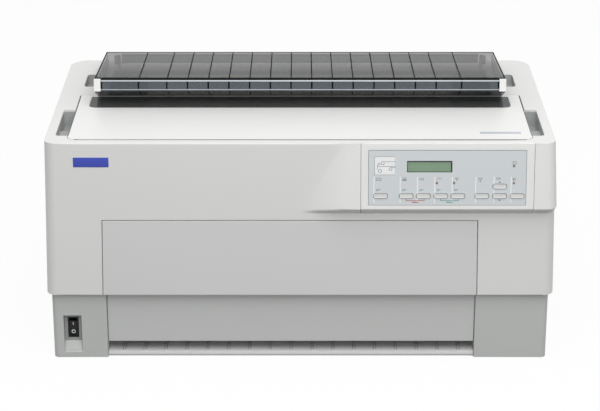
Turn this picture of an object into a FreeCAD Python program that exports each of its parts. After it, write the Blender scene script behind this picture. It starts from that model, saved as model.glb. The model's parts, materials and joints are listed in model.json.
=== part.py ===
import FreeCAD, Part
import math
import os
import Sketcher

# A wide dot matrix printer. The origin is the middle of the footprint on the
# table, +X runs to the user's right, +Y away from the user and +Z up.
# Depths are counted from the casing's front face, heights from the table.

SIZES = {
    # Upper casing, a drafted shell
    "casing_half_top": 344.0,
    "casing_draft": 6.0,
    "casing_depth": 367.0,
    "casing_bottom": 100.5,
    "casing_top": 323.0,
    "casing_wall": 3.0,
    "casing_front_round": 16.0,
    "casing_rear_round": 28.0,
    "casing_rim_height": 4.0,
    # Brow that carries the control panel, with the swoosh that fades it out
    "brow_out": 15.0,
    "brow_drop": 89.0,
    "brow_chin": 11.5,
    "brow_lead": 22.0,
    "swoosh_run": 56.9,
    "swoosh_rise": 2.3,
    "swoosh_lip": 1.2,
    "brow_side_out": 1.3,
    "brow_side_run": 60.0,
    # Control panel housing
    "panel_width": 233.4,
    "panel_side": 29.0,
    "panel_wall": 2.5,
    "panel_tray_depth": 24.0,
    "panel_tray_rise": 4.5,
    "panel_tray_drop": 8.0,
    "panel_seam": 0.4,
    # Overlay sheet on the panel, placed down the slope from its top edge
    "overlay_lead": 10.2,
    "overlay_tail": 11.0,
    "overlay_top": 9.0,
    "overlay_height": 75.5,
    "overlay_thick": 0.5,
    # Display behind the overlay
    "display_lead": 51.9,
    "display_width": 60.4,
    "display_drop": 14.8,
    "display_height": 15.0,
    "display_border": 4.0,
    "display_sink": 1.0,
    # Nine keys
    "key_width": 18.0,
    "key_height": 5.8,
    "key_round": 1.8,
    "key_proud": 1.6,
    "key_stem": 4.6,
    "key_flange": 1.6,
    "key_flange_thick": 0.9,
    "key_clear": 0.3,
    "key_travel": 1.0,
    "key_row_rise": 13.0,
    "key_row_pitch": 13.1,
    "tractor_key_in": 16.5,
    "font_key_in": 51.0,
    "pitch_key_in": 74.2,
    "tear_off_key_in": 97.4,
    "form_key_in": 120.5,
    "line_feed_key_in": 152.6,
    "micro_feed_key_in": 176.6,
    "pause_key_in": 200.2,
    # Lamps and the circuit board behind the panel
    "lamp_radius": 1.4,
    "out_lamp_in": 195.2,
    "out_lamp_drop": 21.5,
    "lamp_drop": 44.8,
    "tear_lamp_in": 92.0,
    "form_lamp_in": 115.2,
    "pause_lamp_in": 195.6,
    "board_thick": 1.6,
    "board_margin": 5.0,
    "board_gap": 1.4,
    "board_post_radius": 3.0,
    "key_switch_side": 6.0,
    # Lower housing
    "base_set_in": 6.0,
    "base_front": 9.0,
    "base_rear_in": 6.0,
    "base_bottom": 1.0,
    "base_wall": 3.0,
    "base_lip_rise": 11.5,
    "base_corner_round": 8.0,
    "base_rear_round": 17.0,
    "left_column": 75.7,
    "right_column": 100.9,
    "column_depth": 45.0,
    "foot_radius": 11.0,
    "foot_stem_radius": 3.0,
    "foot_in_x": 60.0,
    "foot_in_y": 45.0,
    # Cooling slots in the housing's sides
    "vent_front": 190.0,
    "vent_wide": 3.0,
    "vent_pitch": 9.0,
    "vent_low": 40.0,
    "vent_high": 84.0,
    "vent_margin": 60.0,
    # Screw bosses joining casing and housing
    "boss_radius": 5.0,
    "boss_front_side": 60.0,
    "boss_front_depth": 30.0,
    "boss_rear_side": 72.0,
    "boss_rear_in": 15.0,
    "boss_rise": 38.0,
    "screw_radius": 2.0,
    "screw_head_radius": 4.0,
    "screw_head_height": 2.4,
    "screw_bite": 20.0,
    # Power switch
    "switch_side": 15.4,
    "switch_width": 24.4,
    "switch_low": 24.0,
    "switch_tall": 41.0,
    "switch_scoop": 14.0,
    "switch_sink": 7.0,
    "rocker_width": 14.4,
    "rocker_height": 31.0,
    "rocker_wall": 2.0,
    "rocker_body_depth": 24.0,
    "rocker_pivot": 3.0,
    "rocker_reach": 11.5,
    "rocker_rise": 1.6,
    "rocker_proud": 1.0,
    "rocker_dish": 1.4,
    # Front and rear covers, stepped doors hinged at their bottom edge
    "door_head": 11.5,
    "door_low": 23.7,
    "door_left_draft": 2.5,
    "door_right_draft": 2.2,
    "door_left_shoulder": 2.9,
    "door_right_shoulder": 0.2,
    "door_step": 14.0,
    "door_wall": 2.5,
    "door_gap": 0.7,
    "door_rib_depth": 6.0,
    "door_rib_pitch": 84.0,
    "door_ear": 5.0,
    "door_ear_reach": 12.0,
    "door_pin_radius": 3.0,
    "door_pin_height": 31.0,
    "door_pin_length": 4.5,
    "rear_column": 82.0,
    "pin_clear": 0.08,
    # Paper entry guide between the columns
    "guide_top": 8.0,
    "guide_past_column": 1.0,
    "guide_ramp_rise": 16.0,
    "guide_thick": 2.0,
    "guide_rib_pitch": 29.3,
    "guide_rib_gap": 3.4,
    "guide_rib_wide": 0.9,
    "guide_rib_high": 1.2,
    "guide_rib_front": 3.0,
    "guide_rib_margin": 20.0,
    # Printer cover over the print head
    "cover_side": 30.0,
    "cover_front": 15.0,
    "cover_rear": 201.7,
    "cover_wall": 3.0,
    "cover_round": 12.0,
    "cover_gap": 0.7,
    "cover_rear_gap": 1.2,
    "cover_skirt": 6.0,
    "cover_skirt_inset": 10.0,
    "window_side": 16.5,
    "window_run": 47.0,
    "window_tail": 6.7,
    "window_round": 8.0,
    "window_thick": 2.0,
    "window_ledge": 3.0,
    "pin_to_window": 3.0,
    "cover_pin_drop": 15.0,
    "cover_pin_radius": 4.0,
    "cover_arm": 5.0,
    "cover_arm_half": 8.0,
    "lug_wall": 4.0,
    "lug_half": 9.0,
    # Finger wells in the casing's top
    "well_side": 13.0,
    "well_front": 31.0,
    "well_to_pin": 7.0,
    "well_deep_run": 49.5,
    "well_shallow": 14.0,
    "well_deep": 24.0,
    "well_wall": 2.0,
    "rear_well_width": 15.5,
    "rear_well_side": 30.5,
    "rear_well_share": 0.4071,
    "rear_well_run": 56.0,
    "well_corner": 5.0,
    # Ribbed smoked top cover
    "hood_side": 24.6,
    "nose_reach": 46.3,
    "nose_high": 40.0,
    "nose_rise": 23.5,
    "toe_in": 4.7,
    "hood_back_in": 28.0,
    "hood_back_rise": 22.0,
    "hood_wall": 2.6,
    "hood_seat": 0.3,
    "hood_nose_slope": 1.6,
    "hood_rib_pitch": 29.08,
    "hood_rib_wide": 1.2,
    "hood_rib_high": 1.0,
    "hood_rib_shift": 1.42,
    "hood_rib_margin": 30.0,
    "outer_rib_in": 62.6,
    "end_cap_width": 9.3,
    "hood_pin_in": 9.0,
    "hood_pin_rise": 13.0,
    "hood_flange_rise": 5.5,
    "hood_pin_radius": 2.5,
    "hood_ear_in": 21.4,
    "hood_ear": 4.0,
    "hood_ear_radius": 6.5,
    "ear_gap": 0.6,
    "exit_side": 13.4,
    "exit_to_pin": 12.0,
    # Side frames of the mechanism
    "side_bay": 67.5,
    "frame_thick": 3.0,
    "frame_lead": 22.0,
    "frame_to_boss": 11.0,
    "shelf_rise": 4.7,
    "bridge_rise": 40.0,
    "bridge_lead": 24.0,
    "bridge_tail": 47.0,
    "frame_foot": 12.0,
    "frame_window_radius": 26.0,
    # Platen and its drive
    "platen_depth": 215.0,
    "platen_height": 200.0,
    "platen_radius": 18.0,
    "platen_end": 14.5,
    "platen_shaft_radius": 6.0,
    "shaft_clear": 0.06,
    "gear_module": 1.0,
    "gear_width": 6.0,
    "gear_gap": 4.0,
    "gear_hub": 10.0,
    "gear_backlash": 0.25,
    "motor_side": 42.0,
    "motor_length": 38.0,
    "motor_round": 4.0,
    "motor_shaft_radius": 2.5,
    "motor_post_radius": 3.0,
    "motor_post_inset": 5.0,
    # Carriage, print head and belt
    "rail_to_platen": 65.0,
    "rail_drop": 30.0,
    "rail_radius": 8.0,
    "rail_pitch": 32.0,
    "front_rail_radius": 4.0,
    "home_in": 86.5,
    "carriage_half": 36.0,
    "carriage_lead": 10.0,
    "carriage_tail": 32.0,
    "carriage_drop": 13.0,
    "carriage_rise": 14.0,
    "carriage_web": 4.0,
    "head_half": 25.0,
    "head_lead": 18.0,
    "head_tail": 26.0,
    "head_high": 34.0,
    "head_fin_pitch": 6.0,
    "head_fin": 2.0,
    "head_fin_deep": 5.0,
    "head_gap": 3.0,
    "head_nose_half": 6.0,
    "head_nose_high": 7.0,
    "pulley_in": 24.5,
    "pulley_to_rail": 4.0,
    "pulley_radius": 12.0,
    "pulley_drop": 11.0,
    "pulley_width": 8.0,
    "pulley_rim": 1.0,
    "pulley_rim_thick": 1.0,
    "belt_thick": 1.4,
    "belt_clear": 0.3,
    "shelf_thick": 2.5,
    "shelf_reach": 46.0,
    "shelf_half": 24.0,
    "clamp_half": 9.0,
    "clamp_thick": 3.0,
    # Ribbon cartridge
    "ribbon_overlap": 1.5,
    "ribbon_run": 48.0,
    "ribbon_to_carriage": 8.0,
    "ribbon_deep": 26.0,
    "ribbon_round": 10.0,
    "ribbon_arm_width": 20.0,
    "ribbon_arm_side": 20.5,
    "ribbon_arm_gap": 7.0,
    "ribbon_knob_radius": 11.0,
    "ribbon_knob_high": 6.0,
    "band_gap": 1.8,
    "band_thick": 0.4,
    "band_half": 7.0,
    # Tractor units
    "tractor_depth": 70.0,
    "tractor_height": 66.0,
    "tractor_bar": 8.0,
    "tractor_rod_back": 24.0,
    "tractor_rod_up": 14.0,
    "tractor_rod_radius": 4.0,
    "tractor_in": 86.5,
    "tractor_half": 10.0,
    "tractor_drop": 26.0,
    "tractor_rise": 30.0,
    "tractor_back": 33.0,
    "tractor_chamfer": 9.0,
    "sprocket_radius": 15.6,
    "sprocket_half": 3.0,
    "sprocket_pin": 4.0,
    "sprocket_pin_root": 5.0,
    "sprocket_pin_radius": 1.9,
    "sprocket_clear": 0.7,
    "flap_thick": 2.4,
    "flap_paper_gap": 1.0,
    "flap_in": 6.0,
    "flap_knuckle": 2.6,
    "flap_knuckle_gap": 0.3,
    "flap_slot_half": 2.8,
    # Sheet metal paper guides
    "sheet_thick": 1.2,
    "sheet_side": 50.5,
    "feed_lead": 10.0,
    "feed_rise": 5.0,
    "feed_tab": 44.0,
    "feed_knee_share": 0.6294,
    "feed_knee_drop": 17.0,
    "feed_to_platen": 12.0,
    "feed_drop": 31.0,
    "rear_knee_share": 0.5362,
    "rear_rise_share": 0.3529,
    "rear_feed_gap": 5.0,
    "exit_clear": 7.0,
    "exit_low_rise": 22.0,
    "exit_knee_share": 0.3056,
    "exit_rise_share": 0.4255,
    "exit_end_in": 6.0,
    "exit_top_drop": 7.0,
    # Electronics
    "supply_side": 3.0,
    "supply_width": 50.0,
    "supply_front": 60.0,
    "supply_to_inlet": 9.0,
    "supply_high": 92.0,
    "supply_lid": 2.0,
    "inlet_side": 35.0,
    "inlet_half": 14.0,
    "inlet_low": 30.0,
    "inlet_tall": 24.0,
    "inlet_deep": 22.0,
    "inlet_flange": 3.0,
    "inlet_flange_thick": 2.0,
    "inlet_socket_wall": 2.5,
    "inlet_pin_half": 1.0,
    "main_board_width": 54.0,
    "main_board_side": 3.0,
    "main_board_front": 110.0,
    "port_overlap": 5.0,
    "main_board_height": 20.0,
    "port_side": 3.0,
    "port_deep": 24.0,
    "port_inset": 5.0,
    "port_gap": 3.5,
    "parallel_high": 12.0,
    "serial_high": 11.0,
    "chip_side": 24.0,
    "chip_high": 3.0,
    # General
    "seat_gap": 0.3,
    "overrun": 5.0,
}

# Sizes that follow from others, written as formulas of the sheet
DERIVED = {
    "casing_half_low": "casing_half_top + casing_draft",
    "brow_line": "casing_top - brow_drop",
    "brow_foot": "brow_line - brow_chin",
    "brow_full": "panel_left - brow_lead",
    "swoosh_start": "brow_full - swoosh_run",
    "swoosh_line": "brow_foot + swoosh_rise",
    "panel_left": "panel_right - panel_width",
    "panel_right": "casing_half_top - panel_side",
    "panel_tray_low": "brow_foot + panel_tray_rise",
    "panel_tray_high": "casing_top - panel_tray_drop",
    "overlay_left": "panel_left + overlay_lead",
    "overlay_right": "panel_right - overlay_tail",
    "overlay_bottom": "overlay_top + overlay_height",
    "display_left": "overlay_left + display_lead",
    "display_right": "display_left + display_width",
    "display_top": "overlay_top + display_drop",
    "display_bottom": "display_top + display_height",
    "key_row": "overlay_bottom - key_row_rise",
    "key_upper_row": "key_row - key_row_pitch",
    "tractor_key_x": "overlay_left + tractor_key_in",
    "font_key_x": "overlay_left + font_key_in",
    "pitch_key_x": "overlay_left + pitch_key_in",
    "tear_off_key_x": "overlay_left + tear_off_key_in",
    "form_key_x": "overlay_left + form_key_in",
    "line_feed_key_x": "overlay_left + line_feed_key_in",
    "micro_feed_key_x": "overlay_left + micro_feed_key_in",
    "pause_key_x": "overlay_left + pause_key_in",
    "out_lamp_x": "overlay_left + out_lamp_in",
    "out_lamp_down": "overlay_top + out_lamp_drop",
    "lamp_row": "overlay_top + lamp_drop",
    "tear_lamp_x": "overlay_left + tear_lamp_in",
    "form_lamp_x": "overlay_left + form_lamp_in",
    "pause_lamp_x": "overlay_left + pause_lamp_in",
    "base_half": "casing_half_low - base_set_in",
    "base_rear": "casing_depth - base_rear_in",
    "base_lip": "casing_bottom + base_lip_rise",
    "column_left_edge": "left_column - base_half",
    "column_right_edge": "base_half - right_column",
    "boss_front_x": "base_half - boss_front_side",
    "boss_rear_x": "base_half - boss_rear_side",
    "boss_rear_depth": "base_rear - boss_rear_in",
    "switch_left": "switch_side - base_half",
    "switch_right": "switch_left + switch_width",
    "switch_high": "switch_low + switch_tall",
    "door_top": "brow_foot - door_head",
    "door_left_top": "door_left_step + door_left_draft",
    "door_right_top": "door_right_step - door_right_draft",
    "door_left_step": "column_left_edge - door_left_shoulder",
    "door_right_step": "column_right_edge + door_right_shoulder",
    "door_left_low": "column_left_edge + door_gap",
    "door_right_low": "column_right_edge - door_gap",
    "rear_door_half": "base_half - rear_column",
    "guide_back": "column_depth + guide_past_column",
    "cover_half": "casing_half_top - cover_side",
    "window_half": "cover_half - window_side",
    "window_front": "window_rear - window_run",
    "window_rear": "cover_rear - window_tail",
    "cover_pin_depth": "window_front - pin_to_window",
    "cover_pin_height": "casing_top - cover_pin_drop",
    "well_outer": "casing_half_top - well_side",
    "well_rear": "cover_pin_depth - well_to_pin",
    "well_step": "well_rear - well_deep_run",
    "rear_well_inner": "rear_well_outer - rear_well_width",
    "rear_well_outer": "casing_half_top - rear_well_side",
    "rear_well_front": "cover_rear + (casing_depth - cover_rear) * rear_well_share - rear_well_run / 2",
    "rear_well_rear": "rear_well_front + rear_well_run",
    "hood_half": "cover_half - hood_side",
    "hood_nose_depth": "hood_toe_depth - nose_reach",
    "hood_nose_top": "casing_top + nose_high",
    "hood_nose_low": "casing_top + nose_rise",
    "hood_toe_depth": "cover_rear - toe_in",
    "hood_back_depth": "casing_depth - hood_back_in",
    "hood_back_top": "casing_top + hood_back_rise",
    "hood_outer_rib": "hood_half - outer_rib_in",
    "hood_pin_depth": "hood_back_depth - hood_pin_in",
    "hood_pin_height": "casing_top + hood_pin_rise",
    "hood_ear_x": "hood_half - hood_ear_in",
    "exit_half": "hood_half - exit_side",
    "exit_rear": "hood_pin_depth - exit_to_pin",
    "frame_inside": "base_half - side_bay",
    "frame_front": "tractor_depth - frame_lead",
    "frame_rear": "boss_rear_depth - frame_to_boss",
    "frame_shelf_top": "platen_height + shelf_rise",
    "frame_bridge_top": "platen_height + bridge_rise",
    "frame_bridge_front": "ribbon_rear + bridge_lead",
    "frame_bridge_rear": "platen_depth + bridge_tail",
    "platen_half": "frame_inside - platen_end",
    "rail_depth": "platen_depth - rail_to_platen",
    "rail_height": "platen_height - rail_drop",
    "front_rail_depth": "rail_depth - rail_pitch",
    "carriage_home": "frame_inside - home_in",
    "carriage_front": "front_rail_depth - carriage_lead",
    "carriage_rear": "rail_depth + carriage_tail",
    "carriage_low": "rail_height - carriage_drop",
    "carriage_high": "rail_height + carriage_rise",
    "head_front": "rail_depth - head_lead",
    "head_back": "rail_depth + head_tail",
    "head_top": "carriage_high + head_high",
    "head_nose_tip": "platen_depth - platen_radius - head_gap",
    "pulley_x": "frame_inside - pulley_in",
    "pulley_depth": "rail_depth - pulley_to_rail",
    "pulley_low": "carriage_low - pulley_drop",
    "pulley_high": "pulley_low + pulley_width",
    "ribbon_half": "frame_inside + ribbon_overlap",
    "ribbon_front": "ribbon_rear - ribbon_run",
    "ribbon_rear": "carriage_front - ribbon_to_carriage",
    "ribbon_low": "frame_shelf_top + seat_gap",
    "ribbon_high": "ribbon_low + ribbon_deep",
    "ribbon_arm_in": "ribbon_arm_out - ribbon_arm_width",
    "ribbon_arm_out": "frame_inside - ribbon_arm_side",
    "ribbon_arm_rear": "platen_depth - platen_radius - ribbon_arm_gap",
    "band_depth": "platen_depth - platen_radius - band_gap",
    "band_low": "platen_height - band_half",
    "band_high": "platen_height + band_half",
    "tractor_x": "frame_inside - tractor_in",
    "tractor_low": "tractor_height - tractor_drop",
    "tractor_high": "tractor_height + tractor_rise",
    "flap_low": "tractor_low + flap_in",
    "flap_high": "tractor_high - flap_in",
    "sheet_half": "frame_inside - sheet_side",
    "sheet_tab_half": "frame_inside - seat_gap",
    "feed_sheet_start": "tractor_depth - feed_lead",
    "feed_sheet_low": "tractor_high + feed_rise",
    "feed_sheet_tab_end": "feed_sheet_start + feed_tab",
    "feed_sheet_knee": "feed_sheet_start + (feed_sheet_end - feed_sheet_start) * feed_knee_share",
    "feed_sheet_knee_height": "pulley_low - feed_knee_drop",
    "feed_sheet_end": "platen_depth - feed_to_platen",
    "feed_sheet_top": "platen_height - feed_drop",
    "rear_sheet_start": "casing_depth - feed_sheet_start",
    "rear_sheet_knee": "rear_sheet_start - (rear_sheet_start - rear_sheet_end) * rear_knee_share",
    "rear_sheet_knee_height": "feed_sheet_low + (feed_sheet_top - feed_sheet_low) * rear_rise_share",
    "rear_sheet_end": "platen_depth + platen_radius + rear_feed_gap",
    "exit_sheet_start": "platen_depth + platen_radius + exit_clear",
    "exit_sheet_low": "platen_height + exit_low_rise",
    "exit_sheet_knee": "exit_sheet_start + (exit_sheet_end - exit_sheet_start) * exit_knee_share",
    "exit_sheet_knee_height": "exit_sheet_low + (exit_sheet_top - exit_sheet_low) * exit_rise_share",
    "exit_sheet_end": "exit_rear - exit_end_in",
    "exit_sheet_top": "casing_top - exit_top_drop",
    "supply_left": "supply_side + base_wall - base_half",
    "supply_right": "supply_left + supply_width",
    "supply_rear": "base_rear - inlet_deep - supply_to_inlet",
    "inlet_x": "inlet_side - base_half",
    "inlet_high": "inlet_low + inlet_tall",
    "main_board_left": "main_board_right - main_board_width",
    "main_board_right": "base_half - base_wall - main_board_side",
    "main_board_rear": "base_rear - port_deep + port_overlap",
    "port_left": "main_board_left + port_side",
    "port_right": "main_board_right - port_side",
}

# Tooth counts of the platen drive, pins on each sprocket and sections of the swoosh
PLATEN_TEETH = 60
PINION_TEETH = 16
SPROCKET_PINS = 8
SWOOSH_SECTIONS = 5
HEAD_FINS = 6

# Shares of the sizes that they follow
TOOTH_TOP_SHARE = 0.21
TOOTH_FOOT_SHARE = 0.34
ADDENDUM_SHARE = 1.0
DEDENDUM_SHARE = 1.25
STRAIGHT_SHARE = 0.999
PIN_TIP_SHARE = 0.55

doc = FreeCAD.newDocument("DotMatrixPrinter")
sheet = doc.addObject("Spreadsheet::Sheet", "Sizes")
for row, name in enumerate([*SIZES, *DERIVED], start=1):
    sheet.set(f"A{row}", name)
    sheet.setAlias(f"B{row}", name)
for row, value in enumerate([*SIZES.values(), *("=" + text for text in DERIVED.values())], start=1):
    sheet.set(f"B{row}", str(value))
doc.recompute()

Vector = FreeCAD.Vector
AXES = {"X": Vector(1, 0, 0), "Y": Vector(0, 1, 0), "Z": Vector(0, 0, 1)}
NODES = {}


class Size:
    """A length of the sheet, or a sum of such lengths, that keeps its formula."""

    def __init__(self, value, text):
        self.value = value
        self.text = text

    def __float__(self):
        return float(self.value)

    def __add__(self, other):
        return Size(self.value + float(other), f"({self.text} + {formula(other)})")

    def __radd__(self, other):
        return Size(float(other) + self.value, f"({formula(other)} + {self.text})")

    def __sub__(self, other):
        return Size(self.value - float(other), f"({self.text} - {formula(other)})")

    def __rsub__(self, other):
        return Size(float(other) - self.value, f"({formula(other)} - {self.text})")

    def __mul__(self, other):
        return Size(self.value * float(other), f"({self.text} * {formula(other)})")

    __rmul__ = __mul__

    def __truediv__(self, other):
        return Size(self.value / float(other), f"({self.text} / {formula(other)})")

    def __neg__(self):
        return Size(-self.value, f"(0 - {self.text})")


def formula(size):
    """The text that ties a property to the sheet."""
    return size.text if isinstance(size, Size) else repr(size)


def root(size):
    """The square root of a size."""
    return Size(math.sqrt(float(size)), f"sqrt({size.text})")


class SheetSizes:
    """Reads any size of the sheet by its alias."""

    def __getattr__(self, alias):
        return Size(float(sheet.get(alias)), f"Sizes.{alias}")


S = SheetSizes()
FRONT = (S.brow_out - S.casing_depth) / 2
SLOPE = root(S.brow_out * S.brow_out + (S.casing_top - S.brow_line) * (S.casing_top - S.brow_line))
LEAN = S.brow_out / SLOPE
UPRIGHT = (S.casing_top - S.brow_line) / SLOPE
PANEL_TURN = 90 - math.degrees(math.asin(float(LEAN)))
# Each row of tractors: the depth of its shaft and the way to the middle
TRACTOR_ROWS = [(S.tractor_depth, 1), (S.casing_depth - S.tractor_depth, -1)]
# Where each key and lamp sits: across, and down the panel's slope
KEYS = {
    "tractor_select_key": (S.tractor_key_x, S.key_row),
    "font_key": (S.font_key_x, S.key_row),
    "pitch_key": (S.pitch_key_x, S.key_row),
    "tear_off_key": (S.tear_off_key_x, S.key_row),
    "top_of_form_key": (S.form_key_x, S.key_row),
    "line_feed_key": (S.line_feed_key_x, S.key_row),
    "feed_down_key": (S.micro_feed_key_x, S.key_row),
    "feed_up_key": (S.micro_feed_key_x, S.key_upper_row),
    "pause_key": (S.pause_key_x, S.key_row),
}
LAMPS = [
    (S.out_lamp_x, S.out_lamp_down),
    (S.tear_lamp_x, S.lamp_row),
    (S.form_lamp_x, S.lamp_row),
    (S.pause_lamp_x, S.lamp_row),
]


def back(depth):
    """The place of a depth counted from the casing's front face."""
    return FRONT + depth


def mirrored(side, near, far):
    """A span across the machine on one side of its middle, lowest first."""
    return sorted((side * near, side * far), key=float)


def copies_in(span, pitch):
    """How many copies stand a pitch apart within a span."""
    return 1 + int(float(span) // float(pitch))


def bind(target, path, size):
    """Ties one property of an object to the sheet."""
    target.setExpression(path, formula(size))


def place(target, spot, turn=None):
    """Puts an object at a spot given in sizes, turned if asked."""
    if turn is not None:
        target.Placement = FreeCAD.Placement(Vector(0, 0, 0), turn)
    for axis, size in zip("xyz", spot):
        bind(target, f"Placement.Base.{axis}", size)


def block(x, y, z):
    """A box between three pairs of planes."""
    target = doc.addObject("Part::Box", "Block")
    for side, (low, high) in zip(("Length", "Width", "Height"), (x, y, z)):
        bind(target, side, high - low)
    place(target, (x[0], y[0], z[0]))
    return target


def tilted(x, down, out):
    """A box on the control panel's slope: across, down the slope and out of it."""
    target = doc.addObject("Part::Box", "Tilted")
    for side, (low, high) in zip(("Length", "Width", "Height"), (x, down, out)):
        bind(target, side, high - low)
    place(target, on_slope(x[0], down[1], out[0]), FreeCAD.Rotation(AXES["X"], PANEL_TURN))
    return target


def on_slope(x, down, out):
    """A spot on the control panel: across, down from its top edge and out of it."""
    return x, FRONT - LEAN * down - UPRIGHT * out, S.casing_top - UPRIGHT * down + LEAN * out


def stud(x, down, out, radius):
    """A round post square to the control panel, between two levels out of it."""
    target = doc.addObject("Part::Cylinder", "Stud")
    bind(target, "Radius", radius)
    bind(target, "Height", out[1] - out[0])
    place(target, on_slope(x, down, out[0]), FreeCAD.Rotation(AXES["X"], PANEL_TURN))
    return target


def rod(axis, run, centre, radius):
    """A cylinder along one axis, between two planes and round a centre."""
    target = doc.addObject("Part::Cylinder", "Rod")
    bind(target, "Radius", radius)
    bind(target, "Height", run[1] - run[0])
    turn = FreeCAD.Rotation(AXES["Z"], AXES[axis])
    spot = {"X": (run[0], *centre), "Y": (centre[0], run[0], centre[1]), "Z": (*centre, run[0])}
    place(target, spot[axis], turn)
    return target


def fuse(pieces):
    """One solid from several that meet."""
    if len(pieces) == 1:
        return pieces[0]
    target = doc.addObject("Part::MultiFuse", "Fused")
    target.Shapes = pieces
    target.Refine = True
    return target


def cut(base, tools):
    """A base with tools taken out of it."""
    target = doc.addObject("Part::Cut", "Cut")
    target.Base = base
    target.Tool = fuse(tools)
    target.Refine = True
    return target


def common(base, tool):
    """What two solids share."""
    target = doc.addObject("Part::MultiCommon", "Shared")
    target.Shapes = [base, tool]
    target.Refine = True
    return target


def group(pieces):
    """Several solids that share one node."""
    target = doc.addObject("Part::Compound", "Group")
    target.Links = pieces
    return target


def shaped(shape, label):
    """A piece whose surface is worked out from the sheet by lofts."""
    target = doc.addObject("Part::Feature", label)
    target.Shape = shape
    return target


def node(label, target):
    """Names a finished piece as a node of the assembly."""
    target.Label = label
    NODES[label] = target
    return target


def pin_point(sketch, index, end, u, v):
    """Fixes one point of a sketch by two sizes."""
    for kind, size in (("DistanceX", u), ("DistanceY", v)):
        number = sketch.addConstraint(Sketcher.Constraint(kind, -1, 1, index, end, float(size)))
        if isinstance(size, Size):
            sketch.setExpression(f"Constraints[{number}]", size.text)


def draw_circle(sketch, centre, radius):
    """A circle tied to the sheet."""
    spot = Vector(float(centre[0]), float(centre[1]), 0)
    index = sketch.addGeometry(Part.Circle(spot, AXES["Z"], float(radius)))
    pin_point(sketch, index, 3, *centre)
    number = sketch.addConstraint(Sketcher.Constraint("Radius", index, float(radius)))
    sketch.setExpression(f"Constraints[{number}]", formula(radius))


def draw_outline(sketch, corners):
    """A closed outline of straight edges through corners tied to the sheet."""
    first = sketch.GeometryCount
    spots = [Vector(float(u), float(v), 0) for u, v in corners]
    for start, end in zip(spots, spots[1:] + spots[:1]):
        sketch.addGeometry(Part.LineSegment(start, end))
    for index, (u, v) in enumerate(corners):
        following = first + (index + 1) % len(corners)
        sketch.addConstraint(Sketcher.Constraint("Coincident", first + index, 2, following, 1))
        pin_point(sketch, first + index, 1, u, v)


def distinct(corners):
    """An outline without corners that fall on the one before."""
    kept = corners[:1]
    for corner in corners[1:]:
        pairs = zip(corner, kept[-1])
        if not all(math.isclose(float(new), float(old)) for new, old in pairs):
            kept.append(corner)
    return kept


def oblong(u, v):
    """The four corners between two pairs of sizes."""
    return [(u[0], v[0]), (u[1], v[0]), (u[1], v[1]), (u[0], v[1])]


class Moulding:
    """A body shaped by sketched pads, pockets, patterns and fillets."""

    def __init__(self, label):
        self.body = doc.addObject("PartDesign::Body", "Body_" + label)
        self.label = label

    def sketch(self, plane, outlines, level):
        """A sketch on one of the body's own planes, at a level along its axis."""
        sketch = self.body.newObject("Sketcher::SketchObject", "Sketch_" + self.label)
        role = plane + "_Plane"
        origin = next(item for item in self.body.Origin.OriginFeatures if item.Role == role)
        sketch.AttachmentSupport = [(origin, "")]
        sketch.MapMode = "FlatFace"
        bind(sketch, "AttachmentOffset.Base.z", -level if plane == "XZ" else level)
        for outline in outlines:
            if isinstance(outline, dict):
                draw_circle(sketch, outline["centre"], outline["radius"])
            else:
                draw_outline(sketch, outline)
        return sketch

    def pad(self, plane, outlines, run):
        """Adds what the outlines sweep between two levels."""
        feature = self.body.newObject("PartDesign::Pad", "Pad_" + self.label)
        feature.Profile = self.sketch(plane, outlines, run[0])
        bind(feature, "Length", run[1] - run[0])
        feature.Reversed = plane == "XZ"
        self.body.Tip = feature
        return feature

    def pocket(self, plane, outlines, run):
        """Takes away what the outlines sweep between two levels."""
        doc.recompute()
        before = self.body.Shape.Volume
        feature = self.body.newObject("PartDesign::Pocket", "Pocket_" + self.label)
        feature.Profile = self.sketch(plane, outlines, run[0])
        bind(feature, "Length", run[1] - run[0])
        feature.Reversed = plane != "XZ"
        self.body.Tip = feature
        doc.recompute()
        if not self.body.Shape.Volume < before:
            raise ValueError(f"a pocket of {self.label} takes nothing away")
        return feature

    def fillet(self, radius, chosen):
        """Rounds the edges that a test picks."""
        doc.recompute()
        base = self.body.Tip
        names = [f"Edge{i}" for i, edge in enumerate(base.Shape.Edges, start=1) if chosen(edge)]
        if not names:
            raise ValueError(f"no edge of {self.label} to round")
        feature = self.body.newObject("PartDesign::Fillet", "Round_" + self.label)
        feature.Base = (base, names)
        bind(feature, "Radius", radius)
        self.body.Tip = feature
        return feature

    def repeat(self, features, role, reach, copies):
        """Repeats features along one of the body's own axes."""
        doc.recompute()
        pattern = self.body.newObject("PartDesign::LinearPattern", "Row_" + self.label)
        pattern.Originals = features
        axis = next(item for item in self.body.Origin.OriginFeatures if item.Role == role)
        pattern.Direction = (axis, [""])
        bind(pattern, "Length", reach)
        pattern.Occurrences = copies
        self.body.Tip = pattern
        return pattern


def runs_along(edge, axis):
    """Whether an edge is straight and parallel to an axis."""
    straight = edge.Curve.TypeId == "Part::GeomLine"
    return straight and abs(edge.tangentAt(edge.FirstParameter).dot(AXES[axis])) > STRAIGHT_SHARE


def middle_of(edge):
    """The middle of an edge's box."""
    return edge.BoundBox.Center


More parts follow.
